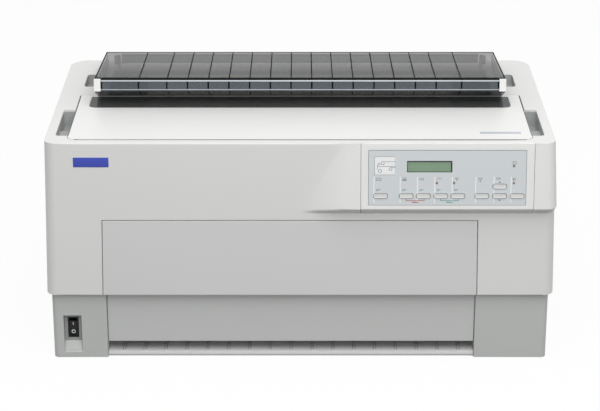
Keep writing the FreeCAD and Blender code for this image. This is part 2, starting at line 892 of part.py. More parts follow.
def level_wire(corners, height):
    """A level closed outline; each corner is x, y and the radius that rounds it."""
    spots = [Vector(float(x), float(y), float(height)) for x, y, radius in corners]
    bends = []
    for index, (spot, corner) in enumerate(zip(spots, corners)):
        radius = float(corner[2])
        after = (spots[(index + 1) % len(spots)] - spot).normalize()
        before = (spots[index - 1] - spot).normalize()
        half = before.getAngle(after) / 2
        reach = radius / math.tan(half)
        sink = radius / math.sin(half) - radius
        middle = spot + (before + after).normalize() * sink
        bends.append((spot + before * reach, middle, spot + after * reach))
    edges = []
    for index, (start, middle, end) in enumerate(bends):
        if start.distanceToPoint(end) > 0:
            edges.append(Part.Arc(start, middle, end).toShape())
        edges.append(Part.LineSegment(end, bends[(index + 1) % len(bends)][0]).toShape())
    return Part.Wire(edges)


def side_at(height):
    """The casing's half width at a height, on its drafted side."""
    share = (height - S.casing_bottom) / (S.casing_top - S.casing_bottom)
    return S.casing_half_low + (S.casing_half_top - S.casing_half_low) * share


def casing_block(inset, low, high):
    """The casing's outer form, drawn in by an inset, between two heights."""
    sections = []
    for height in (low, high):
        half = side_at(height) - inset
        near = back(inset)
        far = back(S.casing_depth - inset)
        front_round = S.casing_front_round - inset
        rear_round = S.casing_rear_round - inset
        corners = [
            (-half, near, front_round),
            (half, near, front_round),
            (half, far, rear_round),
            (-half, far, rear_round),
        ]
        sections.append(level_wire(corners, height))
    return Part.makeLoft(sections, True, True)


def brow_block(left, inset, top):
    """The brow from its left end round the casing's right corner, drawn in by an inset."""
    def section(height, out, side_out):
        side = side_at(height) - inset
        near = back(inset - out)
        corners = [
            (left, near, 0),
            (side + side_out, near, S.casing_front_round - inset),
            (side, back(S.brow_side_run), 0),
            (left, back(S.brow_side_run), 0),
        ]
        return level_wire(corners, height)

    crown = section(top, 0, 0)
    nose = section(S.brow_line + inset, S.brow_out, S.brow_side_out)
    foot = section(S.brow_foot + inset, 0, 0)
    return Part.makeLoft([nose, crown], True, True).fuse(Part.makeLoft([foot, nose], True, True))


def with_brow(left, inset, low, top):
    """The casing's outer form with its right front replaced by the brow."""
    room_size = (S.casing_half_low - left, S.brow_side_run + S.overrun, S.casing_top)
    foot = S.brow_foot + inset
    corner = Vector(float(left), float(back(-S.overrun)), float(foot))
    room = Part.makeBox(*[float(size) for size in room_size], corner)
    trimmed = casing_block(inset, low, top).cut(room)
    return trimmed.fuse(brow_block(left, inset, top))


def swoosh_block():
    """The part of the brow that fades into the flat front, eased in and out."""
    sections = []
    for step in range(SWOOSH_SECTIONS):
        share = step / (SWOOSH_SECTIONS - 1)
        ease = share * share * (3 - 2 * share)
        x = S.swoosh_start + (S.brow_full - S.swoosh_start) * share
        out = S.brow_out * ease
        line = S.swoosh_line + (S.brow_line - S.swoosh_line) * share
        crown = line + S.swoosh_lip + (S.casing_top - line - S.swoosh_lip) * share
        inside = back(S.casing_wall / 2)
        outline = (
            (inside, S.brow_foot),
            (FRONT, S.brow_foot),
            (FRONT - out, line),
            (FRONT, crown),
            (inside, crown),
        )
        spots = [Vector(float(x), float(y), float(z)) for y, z in outline]
        sections.append(Part.makePolygon(spots + spots[:1]))
    return Part.makeLoft(sections, True, True)


def upper_casing():
    """The drafted upper shell with its brow, swoosh, openings and finger wells."""
    inside = S.casing_top - S.casing_wall
    skin = with_brow(S.brow_full, 0, S.casing_bottom, S.casing_top).fuse(swoosh_block())
    rim = S.casing_bottom + S.casing_rim_height
    hollow = with_brow(S.brow_full + S.casing_wall, S.casing_wall, rim, inside)
    shell = shaped(skin.removeSplitter().cut(hollow), "CasingShell")
    rim_side = S.base_half + S.seat_gap
    mouth_y = (back(S.base_front - S.seat_gap), back(S.base_rear + S.seat_gap))
    rim_z = (S.casing_bottom - S.overrun, S.casing_bottom + S.casing_rim_height + S.overrun)
    mouth = block((-rim_side, rim_side), mouth_y, rim_z)

    door = Moulding("door_mouth")
    low = S.casing_bottom - S.overrun
    door.pad("XZ", [[
        (S.door_left_step - S.door_gap, low),
        (S.door_right_step + S.door_gap, low),
        (S.door_right_step + S.door_gap, S.casing_bottom),
        (S.door_right_top + S.door_gap, S.door_top + S.door_gap),
        (S.door_left_top - S.door_gap, S.door_top + S.door_gap),
        (S.door_left_step - S.door_gap, S.casing_bottom),
    ]], (back(-S.overrun), back(S.base_front + S.overrun)))
    rear_half = S.rear_door_half + S.door_gap
    rear_mouth = block(
        (-rear_half, rear_half),
        (back(S.base_rear - S.overrun), back(S.casing_depth + S.overrun)),
        (low, S.door_top + S.door_gap),
    )
    through = (inside - S.overrun, S.casing_top + S.overrun)
    cover_half = S.cover_half + S.cover_gap
    cover_mouth = Moulding("cover_mouth")
    cover_y = (back(S.cover_front - S.cover_gap), back(S.cover_rear + S.cover_rear_gap))
    cover_mouth.pad("XY", [oblong((-cover_half, cover_half), cover_y)], through)
    cover_mouth.fillet(S.cover_round + S.cover_gap, lambda edge: (
        runs_along(edge, "Z") and middle_of(edge).y < float(back(S.window_front))))
    exit_mouth = block(
        (-S.exit_half, S.exit_half),
        (back(S.cover_rear - S.overrun), back(S.exit_rear)),
        through,
    )
    panel_mouth = block(
        (S.panel_left, S.panel_right),
        (back(-S.brow_out - S.overrun), back(S.casing_wall)),
        (S.brow_foot - S.overrun, S.casing_top + S.overrun),
    )
    foot_guard = block(
        (S.panel_left - S.overrun, S.panel_right + S.overrun),
        (back(-S.brow_out - 2 * S.overrun), back(S.casing_wall + S.overrun)),
        (S.brow_foot - 2 * S.overrun, S.brow_foot),
    )
    openings = [mouth, door.body, rear_mouth, cover_mouth.body, exit_mouth, cut(panel_mouth, [foot_guard])]
    shell = cut(shell, openings)

    pieces = [shell]
    hollows = []
    well_out = S.well_outer + S.well_wall
    for side in (-1, 1):
        across = sorted((side * (S.cover_half - S.well_wall), side * well_out), key=float)
        well_y = (back(S.well_front - S.well_wall), back(S.well_rear + S.well_wall))
        well_z = (S.casing_top - S.well_deep - S.well_wall, inside - S.seat_gap)
        pieces.append(block(across, well_y, well_z))
        hollows.append(well_hollow(side))
        rear_across = sorted(
            (side * (S.rear_well_inner - S.well_wall), side * (S.rear_well_outer + S.well_wall)), key=float)
        rear_y = (back(S.rear_well_front - S.well_wall), back(S.rear_well_rear + S.well_wall))
        floor = S.casing_top - S.well_shallow
        pieces.append(block(rear_across, rear_y, (floor - S.well_wall, inside + S.casing_wall / 2)))
        rear_well = Moulding("rear_well")
        hollow_x = sorted((side * S.rear_well_inner, side * S.rear_well_outer), key=float)
        hollow_y = (back(S.rear_well_front), back(S.rear_well_rear))
        rear_well.pad("XY", [oblong(hollow_x, hollow_y)], (floor, S.casing_top + S.overrun))
        rear_well.fillet(S.well_corner, lambda edge: runs_along(edge, "Z"))
        hollows.append(rear_well.body)
        pieces.append(bridge_to_top(side))
        pieces.extend(cover_lugs(side))
        pieces.append(hood_ear(side))
        pieces.extend(casing_bosses(side))
    holes = []
    for side in (-1, 1):
        run = mirrored(side, S.hood_ear_x - S.overrun, S.hood_ear_x + S.hood_ear + S.overrun)
        centre = (back(S.hood_pin_depth), S.hood_pin_height)
        holes.append(rod("X", run, centre, S.hood_pin_radius + S.pin_clear))
        lug_x = S.cover_half + S.cover_gap
        run = sorted((side * (lug_x - S.overrun), side * (lug_x + S.lug_wall + S.overrun)), key=float)
        centre = (back(S.cover_pin_depth), S.cover_pin_height)
        holes.append(rod("X", run, centre, S.cover_pin_radius + S.pin_clear))
        for x, depth in ((S.boss_front_x, S.boss_front_depth), (S.boss_rear_x, S.boss_rear_depth)):
            run = (S.base_lip + S.seat_gap - S.overrun, S.base_lip + S.screw_bite + S.overrun)
            holes.append(rod("Z", run, (side * x, back(depth)), S.screw_radius))
    node("upper_casing", cut(fuse(pieces), hollows + holes))


def bridge_to_top(side):
    """The strip that hangs a finger well from the casing's top beside the cover."""
    across = sorted((side * S.well_outer, side * (S.well_outer + S.well_wall)), key=float)
    run = (back(S.well_front - S.well_wall), back(S.well_rear + S.well_wall))
    return block(across, run, (S.casing_top - S.well_deep, S.casing_top - S.casing_wall / 2))


def well_hollow(side):
    """The hollow of a front finger well, with its rear half deeper."""
    well = Moulding("well")
    across = sorted((side * S.cover_half, side * S.well_outer), key=float)
    top = S.casing_top + S.overrun
    well.pad("YZ", [[
        (back(S.well_front), S.casing_top - S.well_shallow),
        (back(S.well_step), S.casing_top - S.well_shallow),
        (back(S.well_step), S.casing_top - S.well_deep),
        (back(S.well_rear), S.casing_top - S.well_deep),
        (back(S.well_rear), top),
        (back(S.well_front), top),
    ]], across)
    outer = float(side * S.well_outer)
    well.fillet(S.well_corner, lambda edge: (
        runs_along(edge, "Z") and math.isclose(middle_of(edge).x, outer)
        and not math.isclose(middle_of(edge).y, float(back(S.well_step)))))
    return well.body


def cover_lugs(side):
    """The bearing that holds one pivot of the printer cover, hung from the top wall."""
    inner = S.cover_half + S.cover_gap
    across = sorted((side * inner, side * (inner + S.lug_wall)), key=float)
    depth = (back(S.well_rear + S.well_wall), back(S.cover_pin_depth + S.lug_half))
    drop = (S.cover_pin_height - S.lug_half, S.casing_top - S.casing_wall / 2)
    return [block(across, depth, drop)]


def hood_ear(side):
    """An upstand on the casing's top that holds one pivot of the top cover."""
    across = sorted((side * S.hood_ear_x, side * (S.hood_ear_x + S.hood_ear)), key=float)
    ear = Moulding("hood_ear")
    low = S.casing_top - S.casing_wall / 2
    ear.pad("YZ", [[
        (back(S.exit_rear), low),
        (back(S.hood_pin_depth + S.hood_ear_radius), low),
        (back(S.hood_pin_depth + S.hood_ear_radius), S.hood_pin_height),
        (back(S.hood_pin_depth + S.hood_pin_radius), S.hood_pin_height + S.hood_ear_radius),
        (back(S.hood_pin_depth - S.hood_pin_radius), S.hood_pin_height + S.hood_ear_radius),
    ]], across)
    return ear.body


def casing_bosses(side):
    """The casing's screw bosses with the webs that tie them to its walls."""
    low = S.base_lip + S.seat_gap
    high = S.base_lip + S.boss_rise
    pieces = []
    pieces.append(rod("Z", (low, high), (side * S.boss_front_x, back(S.boss_front_depth)), S.boss_radius))
    web_x = mirrored(side, S.boss_front_x - S.casing_wall / 2, S.boss_front_x + S.casing_wall / 2)
    pieces.append(block(web_x, (back(S.casing_wall / 2), back(S.boss_front_depth)), (low, high)))
    pieces.append(rod("Z", (low, high), (side * S.boss_rear_x, back(S.boss_rear_depth)), S.boss_radius))
    web_x = mirrored(side, S.boss_rear_x - S.casing_wall / 2, S.boss_rear_x + S.casing_wall / 2)
    web_y = (back(S.boss_rear_depth), back(S.casing_depth - S.casing_wall / 2))
    pieces.append(block(web_x, web_y, (low, high)))
    return pieces


def lower_housing():
    """The tray that carries everything, open between its two front columns."""
    tray = Moulding("tray")
    outer = oblong((-S.base_half, S.base_half), (back(S.base_front), back(S.base_rear)))
    tray.pad("XY", [outer], (S.base_bottom, S.base_lip))
    inner_x = (-S.base_half + S.base_wall, S.base_half - S.base_wall)
    inner_y = (back(S.base_front + S.base_wall), back(S.base_rear - S.base_wall))
    floor = S.base_bottom + S.base_wall
    tray.pocket("XY", [oblong(inner_x, inner_y)], (floor, S.base_lip + S.overrun))
    front_y, rear_y = float(back(S.base_front)), float(back(S.base_rear))
    wall = float(S.base_wall)
    for radius, level in (
        (S.base_corner_round, front_y),
        (S.base_corner_round - S.base_wall, front_y + wall),
        (S.base_rear_round, rear_y),
        (S.base_rear_round - S.base_wall, rear_y - wall),
    ):
        tray.fillet(radius, lambda edge: (
            runs_along(edge, "Z") and math.isclose(middle_of(edge).y, level)))
    gap_x = (S.column_left_edge, S.column_right_edge)
    gap_y = (back(S.base_front - S.overrun), back(S.door_step))
    tray.pocket("XY", [oblong(gap_x, gap_y)], (S.base_bottom - S.overrun, S.base_lip + S.overrun))
    rear_wall = (back(S.base_rear - S.base_wall - S.overrun), back(S.base_rear + S.overrun))
    front_wall = (back(S.base_front - S.overrun), back(S.base_front + S.base_wall + S.overrun))
    mouth = oblong((-S.rear_door_half, S.rear_door_half), (S.guide_top, S.base_lip + S.overrun))
    tray.pocket("XZ", [mouth], rear_wall)
    scoop = oblong((S.switch_left, S.switch_right), (S.switch_low - S.switch_scoop, S.switch_high))
    tray.pocket("XZ", [scoop], front_wall)
    inlet_x = (S.inlet_x - S.inlet_half, S.inlet_x + S.inlet_half)
    tray.pocket("XZ", [oblong(inlet_x, (S.inlet_low, S.inlet_high))], rear_wall)
    gap = S.seat_gap
    for low, high, inset in port_levels():
        across = (S.port_left + inset - gap, S.port_right - inset + gap)
        tray.pocket("XZ", [oblong(across, (low - gap, high + gap))], rear_wall)
    slot = tray.pocket("YZ", [oblong((back(S.vent_front), back(S.vent_front + S.vent_wide)),
                                     (S.vent_low, S.vent_high))],
                       (-S.base_half - S.overrun, S.base_half + S.overrun))
    vents = copies_in(S.base_rear - S.vent_front - S.vent_margin, S.vent_pitch)
    tray.repeat([slot], "Y_Axis", S.vent_pitch * (vents - 1), vents)
    pieces = [tray.body]
    for edge, side in ((S.column_left_edge, -1), (S.column_right_edge, 1)):
        across = sorted((edge, edge + side * S.base_wall), key=float)
        run = (back(S.base_front + S.base_wall / 2), back(S.column_depth))
        pieces.append(block(across, run, (S.base_bottom + S.base_wall / 2, S.base_lip)))
    for side in (-1, 1):
        across = sorted((side * S.rear_door_half, side * (S.rear_door_half + S.base_wall)), key=float)
        run = (back(S.base_rear - S.door_ear_reach - S.base_wall), back(S.base_rear - S.base_wall / 2))
        pieces.append(block(across, run, (S.base_bottom + S.base_wall / 2, S.base_lip)))
        for x, depth in ((S.boss_front_x, S.boss_front_depth), (S.boss_rear_x, S.boss_rear_depth)):
            run = (S.base_bottom + S.base_wall / 2, S.base_lip)
            pieces.append(rod("Z", run, (side * x, back(depth)), S.boss_radius))
    for x in (S.main_board_left + S.board_margin, S.main_board_right - S.board_margin):
        for depth in (S.main_board_front + S.board_margin, S.main_board_rear - S.board_margin):
            run = (S.base_bottom + S.base_wall / 2, S.main_board_height)
            pieces.append(rod("Z", run, (x, back(depth)), S.board_post_radius))
    pieces.append(switch_recess())
    holes = [block(
        (S.column_left_edge - S.base_wall - S.overrun, S.column_right_edge + S.base_wall + S.overrun),
        (back(S.base_front - S.overrun), back(S.door_step + S.door_wall + S.door_gap)),
        (S.casing_bottom - S.door_gap, S.base_lip + S.overrun),
    )]
    for edge, side in ((S.column_left_edge, -1), (S.column_right_edge, 1)):
        run = sorted((edge - side * S.overrun, edge + side * (S.base_wall + S.overrun)), key=float)
        centre = (back(S.door_step + S.door_wall + S.door_ear_reach / 2), S.door_pin_height)
        holes.append(rod("X", run, centre, S.door_pin_radius + S.pin_clear))
    for side in (-1, 1):
        edge = side * S.rear_door_half
        run = sorted((edge - side * S.overrun, edge + side * (S.base_wall + S.overrun)), key=float)
        centre = (back(S.base_rear - S.door_wall - S.door_ear_reach / 2), S.door_pin_height)
        holes.append(rod("X", run, centre, S.door_pin_radius + S.pin_clear))
        for x, depth in ((S.boss_front_x, S.boss_front_depth), (S.boss_rear_x, S.boss_rear_depth)):
            spot = (side * x, back(depth))
            shank = (S.base_bottom, S.base_lip + S.overrun)
            holes.append(rod("Z", shank, spot, S.screw_radius + S.pin_clear))
            head = (S.base_bottom - S.overrun, S.base_bottom + S.screw_head_height)
            holes.append(rod("Z", head, spot, S.screw_head_radius + S.pin_clear))
    for spot in foot_spots():
        run = (S.base_bottom - S.overrun, S.base_bottom + S.base_wall + S.seat_gap)
        holes.append(rod("Z", run, spot, S.foot_stem_radius + S.pin_clear))
    node("lower_housing", cut(fuse(pieces), holes))


def switch_recess():
    """The walls of the scooped recess round the power switch."""
    recess = Moulding("recess")
    across = (S.switch_left - S.rocker_wall, S.switch_right + S.rocker_wall)
    sill = S.switch_low - S.switch_scoop
    front = back(S.base_front + S.base_wall / 2)
    rear = back(S.base_front + S.switch_sink + S.rocker_wall)
    recess.pad("YZ", [[
        (front, sill - S.rocker_wall),
        (rear, S.switch_low - S.rocker_wall),
        (rear, S.switch_high + S.rocker_wall),
        (front, S.switch_high + S.rocker_wall),
    ]], across)
    sunk = back(S.base_front + S.switch_sink)
    recess.pocket("YZ", [[
        (back(S.base_front - S.overrun), sill),
        (back(S.base_front), sill),
        (sunk, S.switch_low),
        (sunk, S.switch_high),
        (back(S.base_front - S.overrun), S.switch_high),
    ]], (S.switch_left, S.switch_right))
    middle = (S.switch_left + S.switch_right) / 2
    half = S.rocker_width / 2 + S.seat_gap
    centre = (S.switch_low + S.switch_high) / 2
    tall = S.rocker_height / 2 + S.seat_gap
    recess.pocket("XZ", [oblong((middle - half, middle + half), (centre - tall, centre + tall))],
                  (sunk - S.rocker_wall, rear + S.rocker_wall))
    return recess.body


def foot_spots():
    """Where the four feet stand."""
    return [
        (side * (S.base_half - S.foot_in_x), back(depth))
        for side in (-1, 1)
        for depth in (S.base_front + S.foot_in_y, S.base_rear - S.foot_in_y)
    ]


def feet_and_screws():
    """Push-in rubber feet under the housing and the screws that join it to the casing."""
    feet = []
    screws = []
    for spot in foot_spots():
        pad = doc.addObject("Part::Cylinder", "FootPad")
        bind(pad, "Radius", S.foot_radius)
        bind(pad, "Height", S.base_bottom)
        place(pad, (*spot, 0))
        stem = rod("Z", (S.base_bottom / 2, S.base_bottom + S.base_wall), spot, S.foot_stem_radius)
        feet.append(fuse([pad, stem]))
    for side in (-1, 1):
        for x, depth in ((S.boss_front_x, S.boss_front_depth), (S.boss_rear_x, S.boss_rear_depth)):
            spot = (side * x, back(depth))
            head_top = S.base_bottom + S.screw_head_height
            head = rod("Z", (S.base_bottom + S.seat_gap, head_top), spot, S.screw_head_radius)
            shank = rod("Z", (head_top, S.base_lip + S.screw_bite), spot, S.screw_radius)
            screws.append(fuse([head, shank]))
    node("rubber_feet", group(feet))
    node("housing_screws", group(screws))


def power_switch():
    """The switch body clipped into the recess and its curved rocker."""
    middle = (S.switch_left + S.switch_right) / 2
    centre = (S.switch_low + S.switch_high) / 2
    half = S.rocker_width / 2
    tall = S.rocker_height / 2
    sunk = back(S.base_front + S.switch_sink)
    body = Moulding("switch")
    deep = sunk + S.rocker_body_depth
    body.pad("XZ", [oblong((middle - half, middle + half), (centre - tall, centre + tall))], (sunk, deep))
    body.pocket("XZ", [oblong((middle - half + S.rocker_wall, middle + half - S.rocker_wall),
                              (centre - tall + S.rocker_wall, centre + tall - S.rocker_wall))],
                (sunk - S.rocker_wall, deep - S.rocker_wall))
    pivot_depth = sunk + S.rocker_pivot
    across = (middle - half + S.rocker_wall / 2, middle + half - S.rocker_wall / 2)
    hole = rod("X", across, (pivot_depth, centre), S.rocker_wall / 2 + S.pin_clear)
    node("power_switch_body", cut(body.body, [hole]))
    rocker = Moulding("rocker")
    reach = S.rocker_reach
    swing = root(reach * reach + S.rocker_rise * S.rocker_rise)
    level, tip = reach / swing, S.rocker_rise / swing
    face = S.rocker_pivot + S.rocker_proud
    profile = [
        (-face, reach),
        (S.rocker_dish - face, 0),
        (-face, -reach),
        (S.rocker_pivot, -reach / 2),
        (S.rocker_pivot + S.rocker_wall, 0),
        (S.rocker_pivot, reach / 2),
    ]
    tilted_profile = [
        (pivot_depth + into * level - rise * tip, centre + rise * level + into * tip)
        for into, rise in profile
    ]
    rocker.pad("YZ", [tilted_profile],
               (middle - half + S.rocker_wall + S.seat_gap, middle + half - S.rocker_wall - S.seat_gap))
    pin_x = (across[0] + S.seat_gap, across[1] - S.seat_gap)
    pins = rod("X", pin_x, (pivot_depth, centre), S.rocker_wall / 2)
    node("power_rocker", fuse([rocker.body, pins]))


def stepped_door(label, face, inward, step, edges, tall_edges):
    """A hinged door: a flush upper panel that steps in to a recessed lower one."""
    skin = Moulding(label)
    step_low = S.casing_bottom
    wall = S.door_wall
    profile = [
        (face, S.door_top),
        (face, step_low),
        (face + inward * step, step_low),
        (face + inward * step, S.door_low),
        (face + inward * (step + wall), S.door_low),
        (face + inward * (step + wall), step_low + wall),
        (face + inward * wall, step_low + wall),
        (face + inward * wall, S.door_top),
    ]
    widest = (tall_edges["step"][0] - S.overrun, tall_edges["step"][1] + S.overrun)
    skin.pad("YZ", [profile], widest)
    outline = Moulding(label + "_outline")
    run = sorted((face - inward * S.overrun, face + inward * (step + wall + S.door_ear_reach)), key=float)
    outline.pad("XZ", [distinct([
        (edges[0], S.door_low),
        (edges[1], S.door_low),
        (edges[1], step_low),
        (tall_edges["step"][1], step_low),
        (tall_edges["top"][1], S.door_top),
        (tall_edges["top"][0], S.door_top),
        (tall_edges["step"][0], step_low),
        (edges[0], step_low),
    ])], run)
    pieces = [common(skin.body, outline.body)]
    inner = face + inward * (step + wall / 2)
    pin_depth = face + inward * (step + wall + S.door_ear_reach / 2)
    for index, side in ((0, -1), (1, 1)):
        edge = edges[index]
        across = sorted((edge, edge - side * S.door_ear), key=float)
        deep = sorted((inner, face + inward * (step + wall + S.door_ear_reach)), key=float)
        pieces.append(block(across, deep, (S.door_low, S.door_pin_height + S.door_ear_reach / 2)))
        run = sorted((edge - side * S.door_ear, edge + side * S.door_pin_length), key=float)
        pieces.append(rod("X", run, (pin_depth, S.door_pin_height), S.door_pin_radius))
    span = edges[1] - edges[0] - 2 * S.door_ear
    count = int(float(span) // float(S.door_rib_pitch))
    rib = Moulding(label + "_ribs")
    rib_deep = sorted((face + inward * wall / 2, face + inward * (wall + S.door_rib_depth)), key=float)
    rib_x = edges[0] + S.door_rib_pitch
    rib_face = oblong((rib_x, rib_x + wall), (step_low + wall / 2, S.door_top - S.door_ear_reach))
    first = rib.pad("XZ", [rib_face], rib_deep)
    rib.repeat([first], "X_Axis", S.door_rib_pitch * (count - 1), count)
    ribs = common(rib.body, block((edges[0], edges[1]), rib_deep, (step_low, S.door_top)))
    pieces.append(ribs)
    node(label, fuse(pieces))


def doors():
    """The front cover and the rear cover, hinged low between the columns."""
    stepped_door(
        "front_cover", FRONT, 1, S.door_step,
        (S.door_left_low, S.door_right_low),
        {"step": (S.door_left_step, S.door_right_step), "top": (S.door_left_top, S.door_right_top)},
    )
    half = S.rear_door_half - S.seat_gap
    stepped_door(
        "rear_cover", back(S.casing_depth), -1, S.casing_depth - S.base_rear,
        (-half, half),
        {"step": (-half, half), "top": (-half, half)},
    )


def paper_entry_guide():
    """The ribbed sill that leads fanfold paper in under the front cover."""
    guide = Moulding("guide")
    front = back(S.door_step)
    gap = S.seat_gap
    across = (S.column_left_edge + gap, S.column_right_edge - gap)
    low = S.base_bottom + S.base_wall
    knee = back(S.guide_back)
    guide.pad("YZ", [[
        (front, low),
        (back(S.guide_back + S.guide_ramp_rise / 2), low),
        (back(S.guide_back + S.guide_ramp_rise), S.guide_top + S.guide_ramp_rise - S.guide_thick),
        (back(S.guide_back + S.guide_ramp_rise), S.guide_top + S.guide_ramp_rise),
        (knee, S.guide_top),
        (front, S.guide_top),
    ]], across)
    middle = (across[0] + across[1]) / 2
    count = copies_in(across[1] - across[0] - 2 * S.guide_rib_margin, S.guide_rib_pitch)
    first = middle - S.guide_rib_pitch * (count - 1) / 2 - S.guide_rib_gap / 2
    ribs = []
    for shift in (0, S.guide_rib_gap):
        start = first + shift
        run_y = (front + S.guide_rib_front, knee)
        ribs.append(guide.pad("XY", [oblong((start, start + S.guide_rib_wide), run_y)],
                              (S.guide_top - S.guide_rib_high, S.guide_top + S.guide_rib_high)))
    guide.repeat(ribs, "X_Axis", S.guide_rib_pitch * (count - 1), count)
    node("paper_entry_guide", guide.body)


def printer_cover():
    """The white lid over the print head, its smoked window and its pivots."""
    top = S.casing_top
    under = top - S.cover_wall
    lid = Moulding("lid")
    lid_y = (back(S.cover_front), back(S.cover_rear))
    lid.pad("XY", [oblong((-S.cover_half, S.cover_half), lid_y)], (under, top))
    lid.fillet(S.cover_round, lambda edge: (
        runs_along(edge, "Z") and middle_of(edge).y < float(back(S.window_front))))
    ledge = S.window_ledge
    window_y = (back(S.window_front), back(S.window_rear))
    window = oblong((-S.window_half, S.window_half), window_y)
    lid.pocket("XY", [window], (top - S.window_thick, top + S.overrun))
    lid.fillet(S.window_round, lambda edge: (
        runs_along(edge, "Z") and math.isclose(middle_of(edge).y, float(back(S.window_front)))))
    view_y = (window_y[0] + ledge, window_y[1] - ledge)
    lid.pocket("XY", [oblong((-S.window_half + ledge, S.window_half - ledge), view_y)],
               (under - S.overrun, top + S.overrun))
    inset = S.cover_skirt_inset
    skirt = Moulding("skirt")
    skirt_x = (-S.cover_half + inset, S.cover_half - inset)
    skirt_out = oblong(skirt_x, (lid_y[0] + inset, window_y[0] - inset))
    wall = S.cover_wall
    inner = oblong((-S.cover_half + inset + wall, S.cover_half - inset - wall),
                   (lid_y[0] + inset + wall, window_y[0] - inset - wall))
    skirt.pad("XY", [skirt_out, inner], (under - S.cover_skirt, under + S.cover_wall / 2))
    pieces = [lid.body, skirt.body]
    for side in (-1, 1):
        arm_out = S.cover_half - S.cover_arm / 2
        across = sorted((side * arm_out, side * (arm_out - S.cover_arm)), key=float)
        arm = Moulding("cover_arm")
        pin_y = back(S.cover_pin_depth)
        half = S.cover_arm_half
        arm.pad("YZ", [[
            (pin_y - half, under + S.cover_wall / 2),
            (pin_y - half, S.cover_pin_height),
            (pin_y - half / 2, S.cover_pin_height - half * UPRIGHT),
            (pin_y + half / 2, S.cover_pin_height - half * UPRIGHT),
            (pin_y + half, S.cover_pin_height),
            (pin_y + half, under + S.cover_wall / 2),
        ]], across)
        pieces.append(arm.body)
        tip = S.cover_half + S.cover_gap + S.lug_wall
        run = sorted((side * (arm_out - S.cover_arm), side * tip), key=float)
        pieces.append(rod("X", run, (pin_y, S.cover_pin_height), S.cover_pin_radius))
    node("printer_cover", fuse(pieces))

    pane = Moulding("pane")
    gap = S.seat_gap
    pane_y = (window_y[0] + gap, window_y[1] - gap)
    pane_x = (-S.window_half + gap, S.window_half - gap)
    pane.pad("XY", [oblong(pane_x, pane_y)], (top - S.window_thick, top))
    pane.fillet(S.window_round - gap, lambda edge: (
        runs_along(edge, "Z") and math.isclose(middle_of(edge).y, float(back(S.window_front) + gap))))
    node("cover_window", pane.body)


